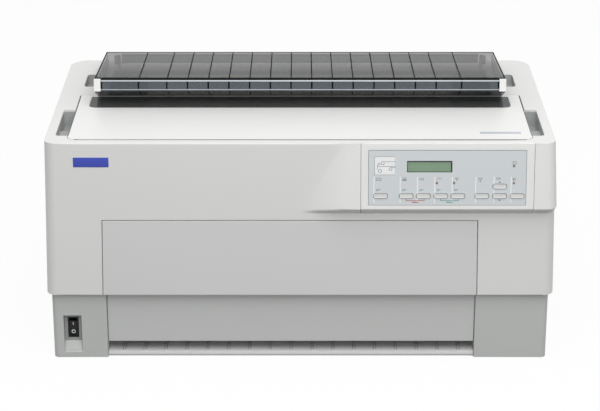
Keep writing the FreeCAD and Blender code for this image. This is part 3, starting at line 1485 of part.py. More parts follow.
def top_cover():
    """The ribbed smoked hood: sloping roof, nose, leaning front wall and cheeks."""
    wall = S.hood_wall
    seat = S.casing_top + S.hood_seat
    nose = back(S.hood_nose_depth)
    toe = back(S.hood_toe_depth)
    rear = back(S.hood_back_depth)
    pin_y = back(S.hood_pin_depth)
    lean = S.hood_nose_slope
    half = S.hood_half
    fall = (S.hood_nose_top - S.hood_back_top) / (S.hood_back_depth - S.hood_nose_depth)
    roof = Moulding("roof")
    roof.pad("YZ", [[
        (nose, S.hood_nose_top),
        (nose - lean, S.hood_nose_low),
        (toe, seat),
        (toe + wall, seat),
        (toe + wall, seat + wall / 2),
        (nose + wall, S.hood_nose_low + wall / 2),
        (nose + wall, S.hood_nose_top - wall - fall * wall),
        (rear, S.hood_back_top - wall),
        (rear, S.hood_back_top),
    ]], (-half, half))
    pieces = []
    rib_front = nose + S.hood_rib_high
    ribs = Moulding("hood_ribs")
    deep = S.hood_rib_high
    profile = [
        (rib_front, S.hood_nose_top - fall * S.hood_rib_high - wall / 2),
        (rear - deep, S.hood_back_top - wall / 2),
        (rear - deep, S.hood_back_top - wall - deep),
        (nose + wall / 2 + deep, S.hood_nose_top - wall - deep),
        (nose + wall / 2 + deep, S.hood_nose_low + wall),
        (nose + wall / 2, S.hood_nose_low + wall),
        (nose + wall / 2, S.hood_nose_top - wall),
    ]
    count = copies_in(2 * (S.hood_outer_rib - S.hood_rib_margin), S.hood_rib_pitch)
    start = S.hood_rib_shift - S.hood_rib_pitch * (count - 1) / 2
    first = ribs.pad("YZ", [profile], (start, start + S.hood_rib_wide))
    ribs.repeat([first], "X_Axis", S.hood_rib_pitch * (count - 1), count)
    pieces.append(ribs.body)
    for side in (-1, 1):
        centre = side * S.hood_outer_rib
        outer_rib = Moulding("outer_rib")
        outer_rib.pad("YZ", [profile], (centre - S.hood_rib_wide / 2, centre + S.hood_rib_wide / 2))
        pieces.append(outer_rib.body)
        cheek = Moulding("cheek")
        across = sorted((side * (half - wall), side * half), key=float)
        swing = S.hood_pin_height - seat
        tail = rear - wall / 2 - pin_y
        cheek.pad("YZ", [[
            (nose + wall / 2, S.hood_nose_low + wall),
            (toe + wall / 2, seat),
            (pin_y, seat),
            (pin_y + tail, S.hood_pin_height - root(swing * swing - tail * tail)),
            (rear - wall / 2, S.hood_back_top - wall / 2),
            (nose + wall / 2, S.hood_nose_top - wall),
        ]], across)
        pieces.append(cheek.body)
        inner = S.hood_ear_x + S.hood_ear + S.ear_gap
        arm_x = sorted((side * inner, side * (inner + S.hood_ear)), key=float)
        arm = Moulding("hood_arm")
        radius = S.hood_ear_radius
        arm.pad("YZ", [[
            (pin_y - radius, S.hood_pin_height),
            (pin_y - radius / 2, S.hood_pin_height - radius * UPRIGHT),
            (pin_y + radius / 2, S.hood_pin_height - radius * UPRIGHT),
            (pin_y + radius, S.hood_pin_height),
            (pin_y + radius, S.hood_back_top - wall / 2),
            (pin_y - radius, S.hood_back_top - wall / 2),
        ]], arm_x)
        pieces.append(arm.body)
        run = sorted((side * (S.hood_ear_x + S.ear_gap), side * inner), key=float)
        pieces.append(rod("X", run, (pin_y, S.hood_pin_height), S.hood_pin_radius))
    flange_half = S.hood_ear_x - 2 * S.ear_gap
    flange_high = (S.casing_top + S.hood_flange_rise, S.hood_back_top - wall / 2)
    pieces.append(block((-flange_half, flange_half), (rear - wall, rear), flange_high))
    hood = fuse([roof.body] + pieces)
    caps = []
    notches = []
    for side in (-1, 1):
        across = sorted((side * (half - S.end_cap_width), side * half), key=float)
        cap = Moulding("end_cap")
        cap.pad("YZ", [[
            (nose, S.hood_nose_top),
            (nose - lean, S.hood_nose_low),
            (nose - lean + wall * 2, S.hood_nose_low),
            (nose + wall * 2, S.hood_nose_top),
        ]], across)
        notch = block(
            across,
            (nose - lean - S.overrun, nose + wall * 2 + S.seat_gap),
            (S.hood_nose_low - S.overrun, S.hood_nose_top + S.overrun),
        )
        notches.append(notch)
        room = block(across, (nose - S.overrun, toe), (S.hood_nose_low, S.hood_nose_top))
        caps.append(common(cap.body, room))
    node("top_cover", cut(hood, notches))
    node("nose_end_caps", group(caps))


def behind_slope(wall, height):
    """Where the back of the sloping panel wall lies at a height."""
    return FRONT + wall / UPRIGHT - (S.casing_top - height) * LEAN / UPRIGHT


def control_panel():
    """The panel housing that fills the brow, its overlay, display, lamps and keys."""
    housing = Moulding("panel")
    across = (S.panel_left + S.panel_seam, S.panel_right - S.panel_seam)
    wall = S.panel_wall
    crown = S.casing_top - S.panel_seam
    rear = back(S.casing_wall - S.panel_seam)
    tray = back(S.panel_tray_depth)
    housing.pad("YZ", [[
        (FRONT, S.casing_top),
        (FRONT - S.brow_out, S.brow_line),
        (FRONT, S.brow_foot + S.panel_seam),
        (rear, S.brow_foot + S.panel_seam),
        (rear, S.panel_tray_low),
        (tray, S.panel_tray_low),
        (tray, S.panel_tray_high),
        (rear, S.panel_tray_high),
        (rear, S.casing_top),
    ]], across)
    inner_x = (across[0] + wall, across[1] - wall)
    upper = crown - 2 * wall
    lower = S.brow_line + wall / 2
    housing.pocket("YZ", [[
        (behind_slope(wall, upper), upper),
        (behind_slope(wall, lower), lower),
        (FRONT + wall / 2, S.panel_tray_low + wall),
        (tray + S.overrun, S.panel_tray_low + wall),
        (tray + S.overrun, S.panel_tray_high - wall),
        (rear, S.panel_tray_high - wall),
    ]], inner_x)
    tools = []
    sink = S.overlay_thick
    sheet_x = (S.overlay_left, S.overlay_right)
    sheet_down = (S.overlay_top, S.overlay_bottom)
    tools.append(tilted(sheet_x, sheet_down, (-sink, S.overrun)))
    clear = S.key_clear
    key_half = S.key_width / 2
    for x, down in KEYS.values():
        tools.append(tilted((x - key_half - clear, x + key_half + clear),
                            (down - S.key_height / 2 - clear, down + S.key_height / 2 + clear),
                            (-S.key_stem - S.overrun, S.overrun)))
    view_x = (S.display_left, S.display_right)
    view_down = (S.display_top, S.display_bottom)
    tools.append(tilted(view_x, view_down, (-wall - S.overrun, S.overrun)))
    for x, down in LAMPS:
        tools.append(stud(x, down, (-wall - S.overrun, S.overrun), S.lamp_radius + clear))
    board_out = (-S.key_stem - S.key_flange_thick - S.board_gap - S.board_thick,
                 -S.key_stem - S.key_flange_thick - S.board_gap)
    board_x = sheet_x
    board_down = (S.overlay_top + 2 * S.board_margin, S.overlay_bottom - S.board_margin)
    posts = []
    for x in (board_x[0] + S.board_margin, board_x[1] - S.board_margin):
        for down in (board_down[0] + S.board_margin, board_down[1] - 4 * S.board_margin):
            posts.append(stud(x, down, (board_out[1], -wall / 2), S.board_post_radius))
    node("control_panel_housing", cut(fuse([housing.body] + posts), tools))

    sheet_holes = []
    for x, down in KEYS.values():
        sheet_holes.append(tilted((x - key_half - clear, x + key_half + clear),
                                  (down - S.key_height / 2 - clear, down + S.key_height / 2 + clear),
                                  (-S.overrun, S.overrun)))
    sheet_holes.append(tilted(view_x, view_down, (-S.overrun, S.overrun)))
    for x, down in LAMPS:
        sheet_holes.append(stud(x, down, (-S.overrun, S.overrun), S.lamp_radius + clear))
    overlay = tilted(sheet_x, sheet_down, (-sink, 0))
    node("panel_overlay", cut(overlay, sheet_holes))

    border = S.display_border
    glass_x = (view_x[0] + clear, view_x[1] - clear)
    glass_down = (view_down[0] + clear, view_down[1] - clear)
    glass = tilted(glass_x, glass_down, (-wall, -S.display_sink))
    frame_x = (view_x[0] - border, view_x[1] + border)
    frame_down = (view_down[0] - border, view_down[1] + border)
    bezel = tilted(frame_x, frame_down, (board_out[1], -wall))
    node("lcd_display", fuse([glass, bezel]))

    board = tilted(board_x, board_down, board_out)
    parts = [board]
    for x, down in LAMPS:
        parts.append(stud(x, down, (board_out[1], sink / 2), S.lamp_radius))
    side = S.key_switch_side / 2
    for x, down in KEYS.values():
        parts.append(tilted((x - side, x + side), (down - side / 2, down + side / 2),
                            (board_out[1], board_out[1] + S.board_gap - S.key_travel - S.key_clear / 2)))
    node("panel_board", fuse(parts))

    for label, (x, down) in KEYS.items():
        key = tilted((x - key_half, x + key_half),
                     (down - S.key_height / 2, down + S.key_height / 2),
                     (-S.key_stem, S.key_proud))
        rounded = doc.addObject("Part::Fillet", "KeyRound")
        rounded.Base = key
        doc.recompute()
        normal = Vector(0, -float(UPRIGHT), float(LEAN))
        picks = [index for index, edge in enumerate(key.Shape.Edges, start=1)
                 if abs(edge.tangentAt(edge.FirstParameter).dot(normal)) > STRAIGHT_SHARE]
        rounded.Edges = [(index, float(S.key_round), float(S.key_round)) for index in picks]
        lip = S.key_flange
        flange = tilted((x - key_half - lip, x + key_half + lip),
                        (down - S.key_height / 2 - lip, down + S.key_height / 2 + lip),
                        (-S.key_stem - S.key_flange_thick, -S.key_stem))
        node(label, fuse([rounded, flange]))


def side_frame(label, side):
    """A steel side plate with its bearings; it carries a shelf for a belt pulley."""
    low = S.base_bottom + S.base_wall + S.seat_gap
    plate = Moulding(label)
    inner = side * S.frame_inside
    across = sorted((inner, inner + side * S.frame_thick), key=float)
    bar_hole = S.tractor_rod_radius + S.shaft_clear
    journal = S.platen_shaft_radius + S.shaft_clear
    window = (back(S.casing_depth / 2), S.tractor_height + S.tractor_rod_up)
    circles = [
        {"centre": (back(S.platen_depth), S.platen_height), "radius": journal},
        {"centre": (back(S.rail_depth), S.rail_height), "radius": S.rail_radius},
        {"centre": (back(S.front_rail_depth), S.rail_height), "radius": S.front_rail_radius},
        {"centre": window, "radius": S.frame_window_radius},
    ]
    for depth, inward in TRACTOR_ROWS:
        circles.append({"centre": (back(depth), S.tractor_height), "radius": bar_hole})
        rod_centre = (back(depth + inward * S.tractor_rod_back), S.tractor_height + S.tractor_rod_up)
        circles.append({"centre": rod_centre, "radius": S.tractor_rod_radius})
    outline = [
        (back(S.frame_front), low),
        (back(S.frame_rear), low),
        (back(S.frame_rear), S.tractor_high),
        (back(S.frame_bridge_rear), S.frame_bridge_top),
        (back(S.frame_bridge_front), S.frame_bridge_top),
        (back(S.frame_bridge_front), S.frame_shelf_top),
        (back(S.frame_front), S.frame_shelf_top),
    ]
    plate.pad("YZ", [outline] + circles, across)
    pieces = [plate.body]
    flange_x = sorted((inner, inner - side * S.frame_foot), key=float)
    flange_y = (back(S.guide_back + S.guide_ramp_rise + S.door_gap), back(S.frame_rear))
    pieces.append(block(flange_x, flange_y, (low, low + S.frame_thick)))
    top = S.pulley_low - S.pulley_rim_thick
    shelf_x = sorted((inner, inner - side * S.shelf_reach), key=float)
    shelf_y = (back(S.pulley_depth - S.shelf_half), back(S.pulley_depth + S.shelf_half))
    spot = (side * S.pulley_x, back(S.pulley_depth))
    shelf = block(shelf_x, shelf_y, (top - S.shelf_thick, top))
    if side < 0:
        hole = (top - S.shelf_thick - S.overrun, top + S.overrun)
        shelf = cut(shelf, [rod("Z", hole, spot, S.motor_shaft_radius + S.shaft_clear)])
    else:
        stub = (top - S.shelf_thick, S.pulley_high + S.pulley_rim_thick)
        pieces.append(rod("Z", stub, spot, S.motor_shaft_radius))
    pieces.append(shelf)
    node(label, fuse(pieces))


def toothed(teeth, centre, run, phase):
    """A spur wheel with straight flanks; one tooth points along the phase."""
    pitch = float(S.gear_module) * teeth / 2
    tip = pitch + float(S.gear_module) * ADDENDUM_SHARE
    foot = pitch - float(S.gear_module) * DEDENDUM_SHARE
    turn = 2 * math.pi / teeth
    spots = []
    for tooth in range(teeth):
        middle = phase + tooth * turn
        for radius, shift in ((foot, -TOOTH_FOOT_SHARE), (tip, -TOOTH_TOP_SHARE / 2),
                              (tip, TOOTH_TOP_SHARE / 2), (foot, TOOTH_FOOT_SHARE)):
            angle = middle + shift * turn
            spots.append(Vector(float(run[0]), float(centre[0]) + radius * math.cos(angle),
                                float(centre[1]) + radius * math.sin(angle)))
    outline = Part.Wire(Part.makePolygon(spots + spots[:1]))
    return Part.Face(outline).extrude(AXES["X"] * float(run[1] - run[0]))


def platen_and_gears():
    """The rubber platen on its shaft, its gear and the motor's pinion."""
    centre = (back(S.platen_depth), S.platen_height)
    outer = S.frame_inside + S.frame_thick
    gear_run = (outer + S.gear_gap, outer + S.gear_gap + S.gear_width)
    roller = rod("X", (-S.platen_half, S.platen_half), centre, S.platen_radius)
    shaft = rod("X", (-outer - S.gear_gap / 2, gear_run[1] + S.gear_gap / 2), centre, S.platen_shaft_radius)
    node("platen", fuse([roller, shaft]))
    down = -math.pi / 2
    gear = shaped(toothed(PLATEN_TEETH, centre, gear_run, down), "PlatenGearTeeth")
    hub = rod("X", (outer + S.gear_gap / 4, gear_run[1]), centre, S.gear_hub)
    bore = rod("X", (outer, gear_run[1] + S.overrun), centre, S.platen_shaft_radius)
    node("platen_gear", cut(fuse([gear, hub]), [bore]))
    apart = S.gear_module * (PLATEN_TEETH + PINION_TEETH) / 2 + S.gear_backlash
    motor_centre = (centre[0], centre[1] - apart)
    half_tooth = math.pi / PINION_TEETH
    pinion = shaped(toothed(PINION_TEETH, motor_centre, gear_run, -down + half_tooth), "PinionTeeth")
    spindle_x = (gear_run[0], gear_run[1] + S.gear_gap + S.motor_length / 4)
    spindle = rod("X", spindle_x, motor_centre, S.motor_shaft_radius)
    node("motor_pinion", fuse([pinion, spindle]))
    return motor_centre, gear_run[1] + S.gear_gap / 2


def motor(axis, start, centre, hole_radius):
    """A square stepper motor with rounded corners, along one axis from its face."""
    half = S.motor_side / 2
    can = Moulding("motor")
    if axis == "X":
        can.pad("YZ", [oblong((centre[0] - half, centre[0] + half), (centre[1] - half, centre[1] + half))],
                (start, start + S.motor_length))
        hole = rod("X", (start - S.overrun, start + S.motor_length / 3), centre, hole_radius)
    else:
        can.pad("XY", [oblong((centre[0] - half, centre[0] + half), (centre[1] - half, centre[1] + half))],
                (start - S.motor_length, start))
        hole = rod("Z", (start - S.motor_length / 3, start + S.overrun), centre, hole_radius)
    can.fillet(S.motor_round, lambda edge: runs_along(edge, axis))
    return cut(can.body, [hole])


def motors(feed_centre, feed_start):
    """The four drive motors: platen feed, carriage and both tractor shafts."""
    outer = S.frame_inside + S.frame_thick
    feed = motor("X", feed_start, feed_centre, S.motor_shaft_radius + S.shaft_clear)
    reach = S.motor_side / 2 - S.motor_post_inset
    posts = []
    for side in (-1, 1):
        spot = (feed_centre[0] + side * reach, feed_centre[1] - reach)
        posts.append(rod("X", (outer, feed_start + S.motor_post_inset), spot, S.motor_post_radius))
    pieces = [fuse([feed] + posts)]
    shelf_low = S.pulley_low - S.pulley_rim_thick - S.shelf_thick
    spot = (-S.pulley_x, back(S.pulley_depth))
    pieces.append(motor("Z", shelf_low, spot, S.motor_shaft_radius + S.shaft_clear))
    for depth, inward in TRACTOR_ROWS:
        centre = (back(depth), S.tractor_height)
        pieces.append(motor("X", outer, centre, S.tractor_rod_radius + S.shaft_clear))
    node("drive_motors", group(pieces))


def carriage_and_head():
    """The carriage on its two rails, the finned print head and the drive belt."""
    inside = S.frame_inside + S.frame_thick
    rails = []
    for depth, radius in ((S.rail_depth, S.rail_radius), (S.front_rail_depth, S.front_rail_radius)):
        rails.append(rod("X", (-inside, inside), (back(depth), S.rail_height), radius))
    node("carriage_rails", group(rails))

    left = S.carriage_home - S.carriage_half
    right = S.carriage_home + S.carriage_half
    web = S.carriage_web
    sled = Moulding("sled")
    sled.pad("YZ", [[
        (back(S.carriage_front), S.carriage_low + web),
        (back(S.carriage_front + web), S.carriage_low),
        (back(S.carriage_rear - 2 * web), S.carriage_low),
        (back(S.carriage_rear), S.carriage_low + 2 * web),
        (back(S.carriage_rear), S.carriage_high - web),
        (back(S.carriage_rear - web), S.carriage_high),
        (back(S.carriage_front + web), S.carriage_high),
        (back(S.carriage_front), S.carriage_high - web),
    ]], (left, right))
    hollow_front = S.front_rail_depth + S.front_rail_radius + web
    hollow_y = (back(hollow_front), back(S.rail_depth - S.rail_radius - web))
    sled.pocket("XY", [oblong((left + 2 * web, right - 2 * web), hollow_y)],
                (S.carriage_low - S.overrun, S.carriage_high - web))
    bores = []
    for depth, radius in ((S.rail_depth, S.rail_radius), (S.front_rail_depth, S.front_rail_radius)):
        run = (left - S.overrun, right + S.overrun)
        bores.append(rod("X", run, (back(depth), S.rail_height), radius + S.shaft_clear))
    strand = S.pulley_depth - S.pulley_radius - 2 * S.belt_clear - S.belt_thick
    clamp = block(
        (S.carriage_home - S.clamp_half, S.carriage_home + S.clamp_half),
        (back(strand - S.clamp_thick), back(strand)),
        (S.pulley_low + S.pulley_rim_thick, S.carriage_high - web / 2),
    )
    node("carriage", cut(fuse([sled.body, clamp]), bores))

    head = Moulding("head")
    head_x = (S.carriage_home - S.head_half, S.carriage_home + S.head_half)
    head.pad("XY", [oblong(head_x, (back(S.head_front), back(S.head_back)))], (S.carriage_high, S.head_top))
    slots = []
    first_slot = S.carriage_high + S.head_fin
    for near, far in ((head_x[0] - S.overrun, head_x[0] + S.head_fin_deep),
                      (head_x[1] - S.head_fin_deep, head_x[1] + S.overrun)):
        for fin in range(HEAD_FINS - 1):
            start = first_slot + S.head_fin_pitch * fin
            slots.append(block((near, far), (back(S.head_front - S.overrun), back(S.head_back + S.overrun)),
                               (start, start + S.head_fin_pitch - S.head_fin)))
    nose = Moulding("nose")
    nose.pad("XY", [[
        (S.carriage_home - S.head_half + S.head_fin_deep, back(S.head_back - S.overrun)),
        (S.carriage_home + S.head_half - S.head_fin_deep, back(S.head_back - S.overrun)),
        (S.carriage_home + S.head_nose_half, back(S.head_nose_tip)),
        (S.carriage_home - S.head_nose_half, back(S.head_nose_tip)),
    ]], (S.platen_height - S.head_nose_high, S.platen_height + S.head_nose_high))
    node("print_head", fuse([cut(head.body, slots), nose.body]))

    rim = S.pulley_radius + S.pulley_rim
    for label, side in (("drive_pulley", -1), ("idler_pulley", 1)):
        spot = (side * S.pulley_x, back(S.pulley_depth))
        wheel = [rod("Z", (S.pulley_low, S.pulley_high), spot, S.pulley_radius)]
        gap = S.seat_gap
        wheel.append(rod("Z", (S.pulley_low - S.pulley_rim_thick + gap, S.pulley_low), spot, rim))
        wheel.append(rod("Z", (S.pulley_high, S.pulley_high + S.pulley_rim_thick - gap), spot, rim))
        if side < 0:
            low = S.pulley_low - S.pulley_rim_thick - S.shelf_thick - S.motor_length / 4
            wheel.append(rod("Z", (low, S.pulley_high), spot, S.motor_shaft_radius))
            node(label, fuse(wheel))
        else:
            hole = (S.pulley_low - S.overrun, S.pulley_high + S.overrun)
            node(label, cut(fuse(wheel), [rod("Z", hole, spot, S.motor_shaft_radius + S.shaft_clear)]))
    inner = loop(S.pulley_radius + S.belt_clear, -S.overrun)
    outer = loop(S.pulley_radius + S.belt_clear + S.belt_thick, S.belt_clear)
    node("carriage_belt", cut(outer, [inner]))


def loop(radius, inset):
    """A racetrack round both pulleys, drawn in from the pulleys' faces by an inset."""
    heights = (S.pulley_low + inset, S.pulley_high - inset)
    across = back(S.pulley_depth)
    pieces = [block((-S.pulley_x, S.pulley_x), (across - radius, across + radius), heights)]
    for side in (-1, 1):
        pieces.append(rod("Z", heights, (side * S.pulley_x, across), radius))
    return fuse(pieces)


def ribbon_cartridge():
    """The wide cartridge on the frames' shelves, its arms and the ribbon band."""
    body = Moulding("cartridge")
    near = back(S.ribbon_front)
    body.pad("XY", [oblong((-S.ribbon_half, S.ribbon_half), (near, back(S.ribbon_rear)))],
             (S.ribbon_low, S.ribbon_high))
    body.fillet(S.ribbon_round, lambda edge: runs_along(edge, "Z"))
    pieces = [body.body]
    for side in (-1, 1):
        across = sorted((side * S.ribbon_arm_in, side * S.ribbon_arm_out), key=float)
        arm = Moulding("ribbon_arm")
        arm.pad("YZ", [[
            (back(S.ribbon_rear - S.overrun), S.ribbon_low),
            (back(S.ribbon_arm_rear - S.ribbon_round), S.ribbon_low),
            (back(S.ribbon_arm_rear - S.ribbon_round), S.band_low),
            (back(S.band_depth + S.band_thick), S.band_low),
            (back(S.band_depth + S.band_thick), S.band_high),
            (back(S.ribbon_arm_rear - S.ribbon_round), S.ribbon_high),
            (back(S.ribbon_rear - S.overrun), S.ribbon_high),
        ]], across)
        pieces.append(arm.body)
    pieces.append(rod("Z", (S.ribbon_high, S.ribbon_high + S.ribbon_knob_high),
                      (-S.ribbon_arm_in, (near + back(S.ribbon_rear)) / 2), S.ribbon_knob_radius))
    band_y = (back(S.band_depth), back(S.band_depth + S.band_thick))
    pieces.append(block((-S.ribbon_arm_in, S.ribbon_arm_in), band_y, (S.band_low, S.band_high)))
    node("ribbon_cartridge", fuse(pieces))


def tractor_shafts():
    """The square drive bars that turn the sprockets and the fixed support rods."""
    rods = []
    inner = S.frame_inside - S.seat_gap
    outer = S.frame_inside + S.frame_thick
    for label, (depth, inward) in zip(("front_tractor_shaft", "rear_tractor_shaft"), TRACTOR_ROWS):
        centre = (back(depth), S.tractor_height)
        half = S.tractor_bar / 2
        bar_y = (centre[0] - half, centre[0] + half)
        bar = block((-inner, inner), bar_y, (centre[1] - half, centre[1] + half))
        journal = rod("X", (-outer, outer + S.motor_length / 4), centre, S.tractor_rod_radius)
        node(label, fuse([bar, journal]))
        rod_centre = (back(depth + inward * S.tractor_rod_back), S.tractor_height + S.tractor_rod_up)
        rods.append(rod("X", (-outer, outer), rod_centre, S.tractor_rod_radius))
    node("tractor_support_rods", group(rods))


def tractor(row, side, depth, inward):
    """One tractor: its slotted body, the pin sprocket and the hinged paper flap."""
    hand = "left" if side < 0 else "right"
    middle = side * S.tractor_x
    axis = back(depth)
    height = S.tractor_height
    face = axis - inward * S.sprocket_radius
    far = axis + inward * S.tractor_back
    bevel = S.tractor_chamfer
    body = Moulding("tractor")
    body.pad("YZ", [[
        (face, S.tractor_low),
        (face, S.tractor_high),
        (far - inward * bevel, S.tractor_high),
        (far, S.tractor_high - bevel),
        (far, S.tractor_low + bevel),
        (far - inward * bevel, S.tractor_low),
    ]], (middle - S.tractor_half, middle + S.tractor_half))
    sweep = S.sprocket_radius + S.sprocket_pin + S.sprocket_clear
    cheek = S.sprocket_half + S.sprocket_clear
    body.pocket("YZ", [{"centre": (axis, height), "radius": sweep}], (middle - cheek, middle + cheek))
    flap_near = face - inward * (S.flap_paper_gap + S.flap_thick / 2)
    hinge_x = middle + side * (S.tractor_half + S.flap_knuckle + S.flap_knuckle_gap)
    third = (S.flap_high - S.flap_low) / 4
    centre_z = (S.flap_low + third + S.flap_knuckle_gap, S.flap_high - third - S.flap_knuckle_gap)
    ear_x = sorted((middle + side * (S.tractor_half - S.flap_knuckle), hinge_x), key=float)
    ear_y = sorted((face + inward * S.flap_knuckle, flap_near + inward * S.flap_knuckle / 2), key=float)
    ear = block(ear_x, ear_y, centre_z)
    knuckle = rod("Z", centre_z, (hinge_x, flap_near), S.flap_knuckle)
    pin_radius = S.flap_knuckle / 2
    pin = rod("Z", (S.flap_low, S.flap_high), (hinge_x, flap_near), pin_radius)
    run = (middle - S.tractor_half - S.overrun, middle + S.tractor_half + S.overrun)
    diagonal = S.tractor_bar / root(S.tractor_bar / S.tractor_bar * 2)
    holes = [
        rod("X", run, (axis, height), diagonal + 2 * S.sprocket_clear),
        rod("X", run, (axis + inward * S.tractor_rod_back, height + S.tractor_rod_up),
            S.tractor_rod_radius + S.shaft_clear),
    ]
    node(f"{row}_{hand}_tractor", cut(fuse([body.body, ear, knuckle, pin]), holes))

    width = (middle - S.sprocket_half, middle + S.sprocket_half)
    disc = rod("X", width, (axis, height), S.sprocket_radius)
    pieces = [disc]
    for index in range(SPROCKET_PINS):
        tooth = doc.addObject("Part::Cone", "SprocketPin")
        bind(tooth, "Radius1", S.sprocket_pin_radius)
        bind(tooth, "Radius2", S.sprocket_pin_radius * PIN_TIP_SHARE)
        bind(tooth, "Height", S.sprocket_pin + S.sprocket_pin_root)
        angle = 360 / SPROCKET_PINS * index
        radial = Vector(0, math.cos(math.radians(angle)), math.sin(math.radians(angle)))
        start = S.sprocket_radius - S.sprocket_pin_root
        spot = (middle, axis + start * radial.y, height + start * radial.z)
        place(tooth, spot, FreeCAD.Rotation(AXES["Z"], radial))
        pieces.append(tooth)
    half = S.tractor_bar / 2 + S.shaft_clear
    bore = block((width[0] - S.overrun, width[1] + S.overrun), (axis - half, axis + half),
                 (height - half, height + half))
    node(f"{row}_{hand}_sprocket", cut(fuse(pieces), [bore]))

    plate_y = (flap_near - S.flap_thick / 2, flap_near + S.flap_thick / 2)
    edge = middle + side * S.tractor_half
    far_edge = middle - side * S.tractor_half
    plate = block(sorted((edge, far_edge), key=float), plate_y, (S.flap_low, S.flap_high))
    slot_reach = (S.flap_high - S.flap_low) / 3
    slot = block((middle - S.flap_slot_half, middle + S.flap_slot_half),
                 (plate_y[0] - S.overrun, plate_y[1] + S.overrun),
                 (height - slot_reach, height + slot_reach))
    leaf = [cut(plate, [slot])]
    sleeves = []
    for low, high in ((S.flap_low, S.flap_low + third), (S.flap_high - third, S.flap_high)):
        leaf.append(rod("Z", (low, high), (hinge_x, flap_near), S.flap_knuckle))
        join_x = sorted((edge - side * S.flap_knuckle, hinge_x), key=float)
        leaf.append(block(join_x, plate_y, (low, high)))
        sleeve = (low - S.overrun, high + S.overrun)
        sleeves.append(rod("Z", sleeve, (hinge_x, flap_near), pin_radius + S.shaft_clear))
    node(f"{row}_{hand}_flap", cut(fuse(leaf), sleeves))


def bent_sheet(label, path, half, tabs):
    """A bent sheet metal guide along a path, with its tabs trimmed by boxes."""
    wide = Moulding(label)
    lifted = [(depth, height + S.sheet_thick) for depth, height in reversed(path)]
    wide.pad("YZ", [path + lifted], (-half, half))
    node(label, cut(wide.body, tabs))


def paper_guides():
    """The sheets that lead paper from each tractor to the platen and out on top."""
    half = S.sheet_tab_half
    tall = S.casing_top

    def trims(near, far, low):
        return [block(sorted((side * S.sheet_half, side * (half + S.overrun)), key=float),
                      (back(near), back(far)), (low, tall)) for side in (-1, 1)]

    front = [
        (back(S.feed_sheet_start), S.feed_sheet_low),
        (back(S.feed_sheet_tab_end), S.feed_sheet_low + S.sheet_thick),
        (back(S.feed_sheet_knee), S.feed_sheet_knee_height),
        (back(S.feed_sheet_end), S.feed_sheet_top),
    ]
    front_trims = trims(S.feed_sheet_tab_end, S.platen_depth, S.base_lip / 2)
    bent_sheet("front_paper_guide", front, half, front_trims)
    rear = [
        (back(S.rear_sheet_start), S.feed_sheet_low),
        (back(S.rear_sheet_knee), S.rear_sheet_knee_height),
        (back(S.rear_sheet_end), S.feed_sheet_top),
    ]
    bent_sheet("rear_paper_guide", rear, half, trims(S.platen_depth, S.rear_sheet_knee, S.base_lip / 2))
    leave = [
        (back(S.exit_sheet_start), S.exit_sheet_low),
        (back(S.exit_sheet_knee), S.exit_sheet_knee_height),
        (back(S.exit_sheet_end), S.exit_sheet_top),
    ]
    bent_sheet("paper_exit_guide", leave, half, trims(S.platen_depth, S.casing_depth, S.frame_bridge_top))


def electronics():
    """The power supply, the mains inlet and the main board with its ports."""
    low = S.base_bottom + S.base_wall + S.seat_gap
    can = block((S.supply_left, S.supply_right), (back(S.supply_front), back(S.supply_rear)),
                (low, S.supply_high - S.supply_lid))
    lid = block((S.supply_left - S.supply_lid, S.supply_right + S.supply_lid),
                (back(S.supply_front - S.supply_lid), back(S.supply_rear + S.supply_lid)),
                (S.supply_high - S.supply_lid, S.supply_high))
    node("power_supply", fuse([can, lid]))

    inlet = Moulding("inlet")
    half = S.inlet_half - S.seat_gap
    rear = back(S.base_rear)
    deep = rear - S.inlet_deep
    gap = S.seat_gap
    inlet.pad("XZ", [oblong((S.inlet_x - half, S.inlet_x + half), (S.inlet_low + gap, S.inlet_high - gap))],
              (deep, rear))
    reach = S.inlet_half + S.inlet_flange
    inlet.pad("XZ", [oblong((S.inlet_x - reach, S.inlet_x + reach),
                            (S.inlet_low - S.inlet_flange, S.inlet_high + S.inlet_flange))],
              (rear, rear + S.inlet_flange_thick))
    wall = S.inlet_socket_wall
    inlet.pocket("XZ", [oblong((S.inlet_x - half + wall, S.inlet_x + half - wall),
                               (S.inlet_low + wall, S.inlet_high - wall))],
                 (deep + wall, rear + S.inlet_flange_thick + S.overrun))
    pins = []
    middle = (S.inlet_low + S.inlet_high) / 2
    for step, rise in ((-1, 0), (0, 1), (1, 0)):
        x = S.inlet_x + step * S.inlet_half / 2
        z = middle + rise * S.inlet_socket_wall
        pins.append(block((x - S.inlet_pin_half, x + S.inlet_pin_half), (deep + wall / 2, rear - wall),
                          (z - wall, z + wall)))
    node("mains_inlet", fuse([inlet.body] + pins))

    board_top = S.main_board_height + S.board_thick
    pieces = [block((S.main_board_left, S.main_board_right),
                    (back(S.main_board_front), back(S.main_board_rear)),
                    (S.main_board_height, board_top))]
    for low, high, inset in port_levels():
        pieces.append(block((S.port_left + inset, S.port_right - inset),
                            (back(S.base_rear - S.port_deep), back(S.base_rear)), (low, high)))
    bracket = (back(S.base_rear - S.port_deep), back(S.base_rear - S.port_deep / 2))
    pieces.append(block((S.port_left + S.port_inset, S.port_right - S.port_inset), bracket,
                        (board_top, port_levels()[1][1])))
    chip_x = (S.main_board_left + S.main_board_right) / 2
    for step in range(3):
        y = back(S.main_board_front + S.chip_side) + step * 2 * S.chip_side
        pieces.append(block((chip_x - S.chip_side / 2, chip_x + S.chip_side / 2), (y, y + S.chip_side),
                            (board_top, board_top + S.chip_high)))
    node("main_board", fuse(pieces))


def port_levels():
    """Heights and inset of the parallel port and, above it, the serial port."""
    low = S.main_board_height + S.board_thick
    top = low + S.parallel_high
    return [(low, top, 0), (top + S.port_gap, top + S.port_gap + S.serial_high, S.port_inset)]


